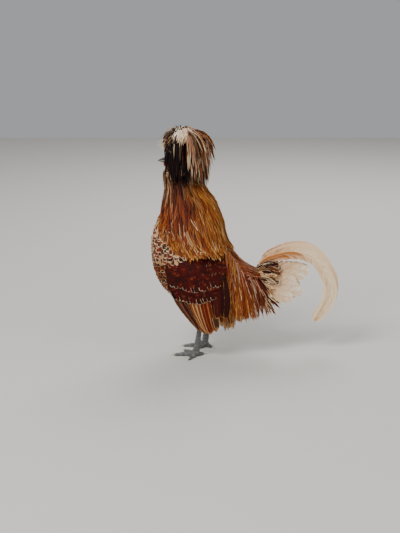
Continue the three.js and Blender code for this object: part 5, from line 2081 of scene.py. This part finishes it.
@dataclass
class Leg:
    """A shank and foot in scutes, with claws and a spur."""

    name: str
    side: int
    foot_x: float
    spread: float = 30.0
    scutes: int = 9
    toes: tuple[tuple[str, float, float, int], ...] = (
        ("middle", -1, 45, 7), ("inner", -50, 38, 6), ("outer", 62, 33, 6), ("rear", 205, 17, 3))

    def middle(self, ahead: float = 0.0, height: float = 0.0) -> Array:
        """A point over the foot's middle."""
        return np.array([self.foot_x + ahead, self.side * self.spread, height])

    def shank(self, t: Array, angle: Array) -> Array:
        """Points on the shank.

        Args:
            t: from the hock, 0, down to the foot, 1.
            angle: round the shank, from the front.

        Returns:
            The points.
        """
        swell = 1.25 - 0.3 * np.sin(math.pi * np.minimum(t * 1.2, 1)) - 0.05 * t
        proud = (t * self.scutes % 1) ** 2 * 0.55 * rise(np.cos(angle), -0.1, 0.5)
        reach = (5.5 * swell + proud) * dome(t, 0.03)
        return joined(self.foot_x + 10 * (1 - t) - np.cos(angle) * reach,
                      self.side * self.spread + np.sin(angle) * reach * 0.86, 78 - 70 * t)

    def direction(self, heading: float) -> Array:
        """A toe's direction on the floor."""
        return level(np.radians(heading)) * (1, self.side, 1)

    def toe(self, heading: float, length: float, scutes: int) -> Place:
        """A place function for one toe.

        Args:
            heading: its direction in degrees from the front.
            length: in mm.
            scutes: how many scales it has in a row.

        Returns:
            Points on the toe.
        """
        way = self.direction(heading)
        aside = np.array([-way[1], way[0], 0])

        def place(t: Array, angle: Array) -> Array:
            """Points on the toe, from its root at t 0 to its end at t 1.

            Args:
                t: shares of its way, 0 to 1.
                angle: turns round it.

            Returns:
                The points in mm.
            """
            joint = np.cos(FULL_TURN * (t * max(1, round(length / 14)) + 0.1))
            closed = np.sqrt(np.maximum(1 - np.maximum((t - 0.86) / 0.14, 0) ** 2, 0)) * opened(t, 0.03)
            wide = (4.9 - 1.9 * t) * (1 + 0.1 * joint) * closed
            tall = (10.2 - 5.0 * t) * (1 + 0.05 * joint)
            tall = tall + (t * scutes % 1) ** 2 * 0.45 * rise(np.sin(angle), 0.0, 0.5)
            up = np.clip((np.sin(angle) + 0.55) / 1.55, 0, 1)
            z = up * tall * (0.4 + 0.6 * closed) * closed + (1 - closed) * 2.6
            return (self.middle() + way * (length * t)[:, None] + aside * (np.cos(angle) * wide)[:, None]
                    + np.array([0, 0, 1.0]) * z[:, None])
        return place

    @staticmethod
    def horn(start: Array, way: Array, length: float, radius: float, bend: float) -> Mesh:
        """A claw or spur.

        Args:
            start: its root in mm.
            way: its direction.
            length: how far it reaches.
            radius: its half width at the root.
            bend: how far its point drops.

        Returns:
            The mesh.
        """
        aside, up = unit(np.array([-way[1], way[0], 0])), np.array([0, 0, 1.0])

        def place(t: Array, angle: Array) -> Array:
            """Points on the horn, from its root at t 0 to its point at t 1.

            Args:
                t: shares of its way, 0 to 1.
                angle: turns round it.

            Returns:
                The points in mm.
            """
            size = radius * np.sqrt(np.maximum(1 - t, 0)) * (1 - 0.35 * t) * opened(t, 0.04)
            rise_up = 0.9 * np.sin(math.pi * t) - bend * t * t
            return (start + way * (length * t)[:, None] + up * (rise_up + np.cos(angle) * size)[:, None]
                    + aside * (np.sin(angle) * size * 0.8)[:, None])
        return shell("horn", place, 20, 16)

    def pad(self, t: Array, angle: Array) -> Array:
        """Points on the ball of the foot, flat on the floor."""
        points = ellipsoid(self.middle(height=6), (9, 8, 7.4))(t, angle)
        return np.clip(points, (-np.inf, -np.inf, 0), (np.inf, np.inf, 13.5))

    def build(self, slate: Material, toes: Material, horn: Material) -> None:
        """Builds the leg.

        Args:
            slate: the shank's finish.
            toes: the toes' finish.
            horn: the claws' and spur's finish.
        """
        shank = shell("shank", self.shank, 90, 36)
        finished(shank, f"shank_scaled_{self.name}", [f"shank_{self.name}"], slate)
        meshes = [shell("pad", self.pad, 24, 32)]
        meshes += [shell("toe", self.toe(heading, length, scutes), scutes * 8, 28)
                   for _, heading, length, scutes in self.toes]
        foot = merged("foot", meshes)
        finished(foot, f"foot_scaled_{self.name}", [f"foot_{self.name}"], toes)
        for toe, heading, length, _ in self.toes:
            way = self.direction(heading)
            claw = self.horn(self.middle(height=3.8) + way * (length - 3.5), way, 13.8, 2.4, 2.4)
            finished(claw, f"claw_horn_{toe}_{self.name}", [f"claw_{self.name}_{toe}"], horn)
        way = unit(np.array([0.75, -self.side * 0.65, 0.1]))
        spur = self.horn(self.middle(10 * (30 - 13) / 63, 30) + way * 4, way, 10.6, 2.6, 0.4)
        finished(spur, f"spur_horn_{self.name}", [f"spur_{self.name}"], horn)


@dataclass
class Skin:
    """One skin over body, neck, skull, thighs, wing roots and tail root."""

    body: Body
    neck: Neck
    wing: Wing
    head: Head
    thighs: Sequence[Thigh]
    voxel: float = 2.2
    smoothings: int = 4

    def parts(self) -> list[Mesh]:
        """Builds the closed forms that the skin is fused from.

        Returns:
            Their meshes.
        """
        sides = SIDES.values()
        return [shell("trunk", flesh(self.body.point, 6.0, 0.04), 60, 60),
                shell("neck", self.neck.core, 60, 48),
                shell("tail_root", ellipsoid((114, 0, 166), (14, 12, 16)), 24, 32),
                shell("crest_knob", ellipsoid((-41, 0, 412), (24, 24, 25)), 24, 32),
                self.head.bulb(1, 0, 0, 0, self.head.skull, 40, 48),
                *(self.head.bulb(side, 8, 9, -7, (13, 7, 9)) for side in sides),
                *(self.head.bulb(side, 12, 11, 8, (9, 5, 4)) for side in sides),
                *(shell("thigh", flesh(thigh.point, 3.0, 0.05), 30, 36) for thigh in self.thighs),
                *(shell("wing_core", self.wing.core(side), 40, 48) for side in sides)]

    def build(self) -> Thing:
        """Fuses the parts to one skin and marks it like the coat.

        Returns:
            The skin piece.
        """
        rough = added("skin_parts", merged("skin_parts", self.parts()))
        remesh = rough.modifiers.new("one_skin", "REMESH")
        remesh.mode, remesh.voxel_size = "VOXEL", self.voxel
        bpy.context.view_layer.update()
        mesh = bpy.data.meshes.new_from_object(rough.evaluated_get(bpy.context.evaluated_depsgraph_get()))
        bpy.data.objects.remove(rough)
        bm = bmesh.new()
        bm.from_mesh(mesh)
        for _ in range(self.smoothings):
            bmesh.ops.smooth_vert(bm, verts=list(bm.verts), factor=0.5, use_axis_x=True, use_axis_y=True,
                                  use_axis_z=True)
        for side in SIDES.values():
            pull(bm.verts, self.head.point(11, 16 * side, 2), 7.0, self.head.point(8, 0, 0), 2.6)
        for face in bm.faces:
            face.smooth = True
        bm.to_mesh(mesh)
        bm.free()
        self.mark(mesh)
        return finished(mesh, "skin", ["head"], SkinFinish().make())

    def mark(self, mesh: Mesh) -> None:
        """Gives the skin the coat's colours at each point, dimmed as painted shade under the feathers, and
        its bare face.

        Args:
            mesh: the skin.
        """
        rng = draws(61)
        n = len(mesh.vertices)
        at = np.empty(n * 3)
        mesh.vertices.foreach_get("co", at)
        at = at.reshape(-1, 3)
        whole = self.body.dye(rng, at)
        angle = np.arctan2(at[:, 1], -(at[:, 0] + 20)) / FULL_TURN % 1.0
        cape = self.neck.dye(rng, joined((self.neck.top - at[:, 2]) / 170, angle))
        share, top = rise(at[:, 2], 225, 255), rise(at[:, 2], 392, 402)
        dark = pick(rng, n, SOOT=1, UMBER=1)
        # painted shade: the coat's colours at 0.6 brightness, for the skin that shows between the feathers
        for name, low, high in (("Ground", whole.ground, cape.ground), ("Edge", whole.edge, cape.edge)):
            paint(mesh, name, mixed(mixed(low, high, share) * 0.6, dark, top))
        face = np.minimum(*(np.linalg.norm((at - self.head.point(16, 13 * side, -1)) / (1, 1, 0.9), axis=-1)
                            for side in SIDES.values()))
        bare = 1 - rise(face, 11, 15)
        mesh.attributes.new("Bare", "FLOAT", "POINT").data.foreach_set("value", bare.astype(np.float32))


@dataclass
class Studio:
    """The pale floor, the soft lights and the camera."""

    floor_size: float = 6.0
    lamps: tuple[tuple, ...] = (
        ("key", (-1.2, -1.5, 2.1), 1.1, 66.0), ("fill", (1.6, -1.2, 1.2), 1.8, 14.0),
        ("rim", (0.5, 1.7, 1.9), 1.5, 40.0))
    aim: Triple = (0, 0, 0.2)
    glow: tuple[float, float, float, float] = (0.82, 0.84, 0.87, 1)
    glow_strength: float = 0.45
    camera_place: Triple = (-0.0902, -2.3496, 0.7875)
    camera_tilt: float = 75.5
    lens: float = 81.05
    sensor: float = 36.0

    def floor(self) -> None:
        """Lays the floor."""
        bm = bmesh.new()
        bmesh.ops.create_grid(bm, x_segments=8, y_segments=8, size=self.floor_size / 2)
        mesh = bpy.data.meshes.new("floor")
        bm.to_mesh(mesh)
        bm.free()
        g = Graph("floor_finish", Specular_IOR_Level=0.2)
        cloud = g.noise(g.spot(), 9.0, 5.0)
        worn = (*(0.8 * c for c in Tone.FLOOR.rgb), 1.0)
        g.feed(Base_Color=g.mix(cloud * 0.12, Tone.FLOOR.rgba, worn), Roughness=0.8 + (cloud - 0.5) * 0.1)
        mesh.materials.append(g.material)
        floor = added("floor", mesh)

    def build(self) -> None:
        """Sets up floor, lights, backdrop glow and camera."""
        self.floor()
        for name, place, size, power in self.lamps:
            lamp = bpy.data.lights.new(name, "AREA")
            lamp.shape, lamp.size, lamp.energy = "SQUARE", size, power
            stand = added(name, lamp)
            stand.location = place
            stand.rotation_euler = (Vector(self.aim) - Vector(place)).to_track_quat("-Z", "Y").to_euler()
        world = bpy.data.worlds.new("studio")
        world.use_nodes = True
        backdrop = world.node_tree.nodes["Background"]
        backdrop.inputs[0].default_value, backdrop.inputs[1].default_value = self.glow, self.glow_strength
        bpy.context.scene.world = world
        camera = added("camera", bpy.data.cameras.new("camera"))
        camera.data.lens, camera.data.sensor_width = self.lens, self.sensor
        camera.location = self.camera_place
        camera.rotation_euler = (math.radians(self.camera_tilt), 0, 0)
        bpy.context.scene.camera = camera


def main() -> None:
    """Builds the bird piece by piece."""
    logging.basicConfig(level=logging.INFO, format="%(message)s")
    Studio().build()
    plumage = PlumageFinish("plumage").make()
    soft = PlumageFinish("soft_plumage", barbs=0.8, roughness=0.8).make()
    glossy = PlumageFinish("hackle_plumage", roughness=0.48, mottle=0.6, soft=1.3, variety=0.5).make()
    loose = PlumageFinish("crest_plumage", roughness=0.5, mottle=0.6, fade=0.3, soft=1.6, variety=0.45).make()
    long = PlumageFinish("tail_plumage", mottle=0.24, ribs=0.0, soft=1.0, variety=0.1).make()
    body, neck, wing, head = Body(), Neck(), Wing(), Head()
    thighs = [Thigh("left", SIDES["left"], -14), Thigh("right", SIDES["right"], 4)]
    skin = Skin(body, neck, wing, head, thighs).build()
    body.build(plumage, glossy)
    neck.build(glossy, body.surface)
    head.build(plumage, skin)
    Crest().build(loose)
    shank = ScuteFinish("shank_scales", 9).make()
    toes = ScuteFinish("toe_scales", 6).make()
    claws = HornFinish("claw_horn", Tone.CLAW_PALE, Tone.WHITE, 12.0).make()
    for thigh in thighs:
        wing.build(thigh.name, thigh.side, plumage)
        Saddle().build(thigh.name, thigh.side, glossy)
        Tail(thigh.name, thigh.side).build(long, plumage)
        thigh.build(soft)
        Leg(thigh.name, thigh.side, thigh.foot_x).build(shank, toes, claws)


if __name__ == "__main__":
    main()
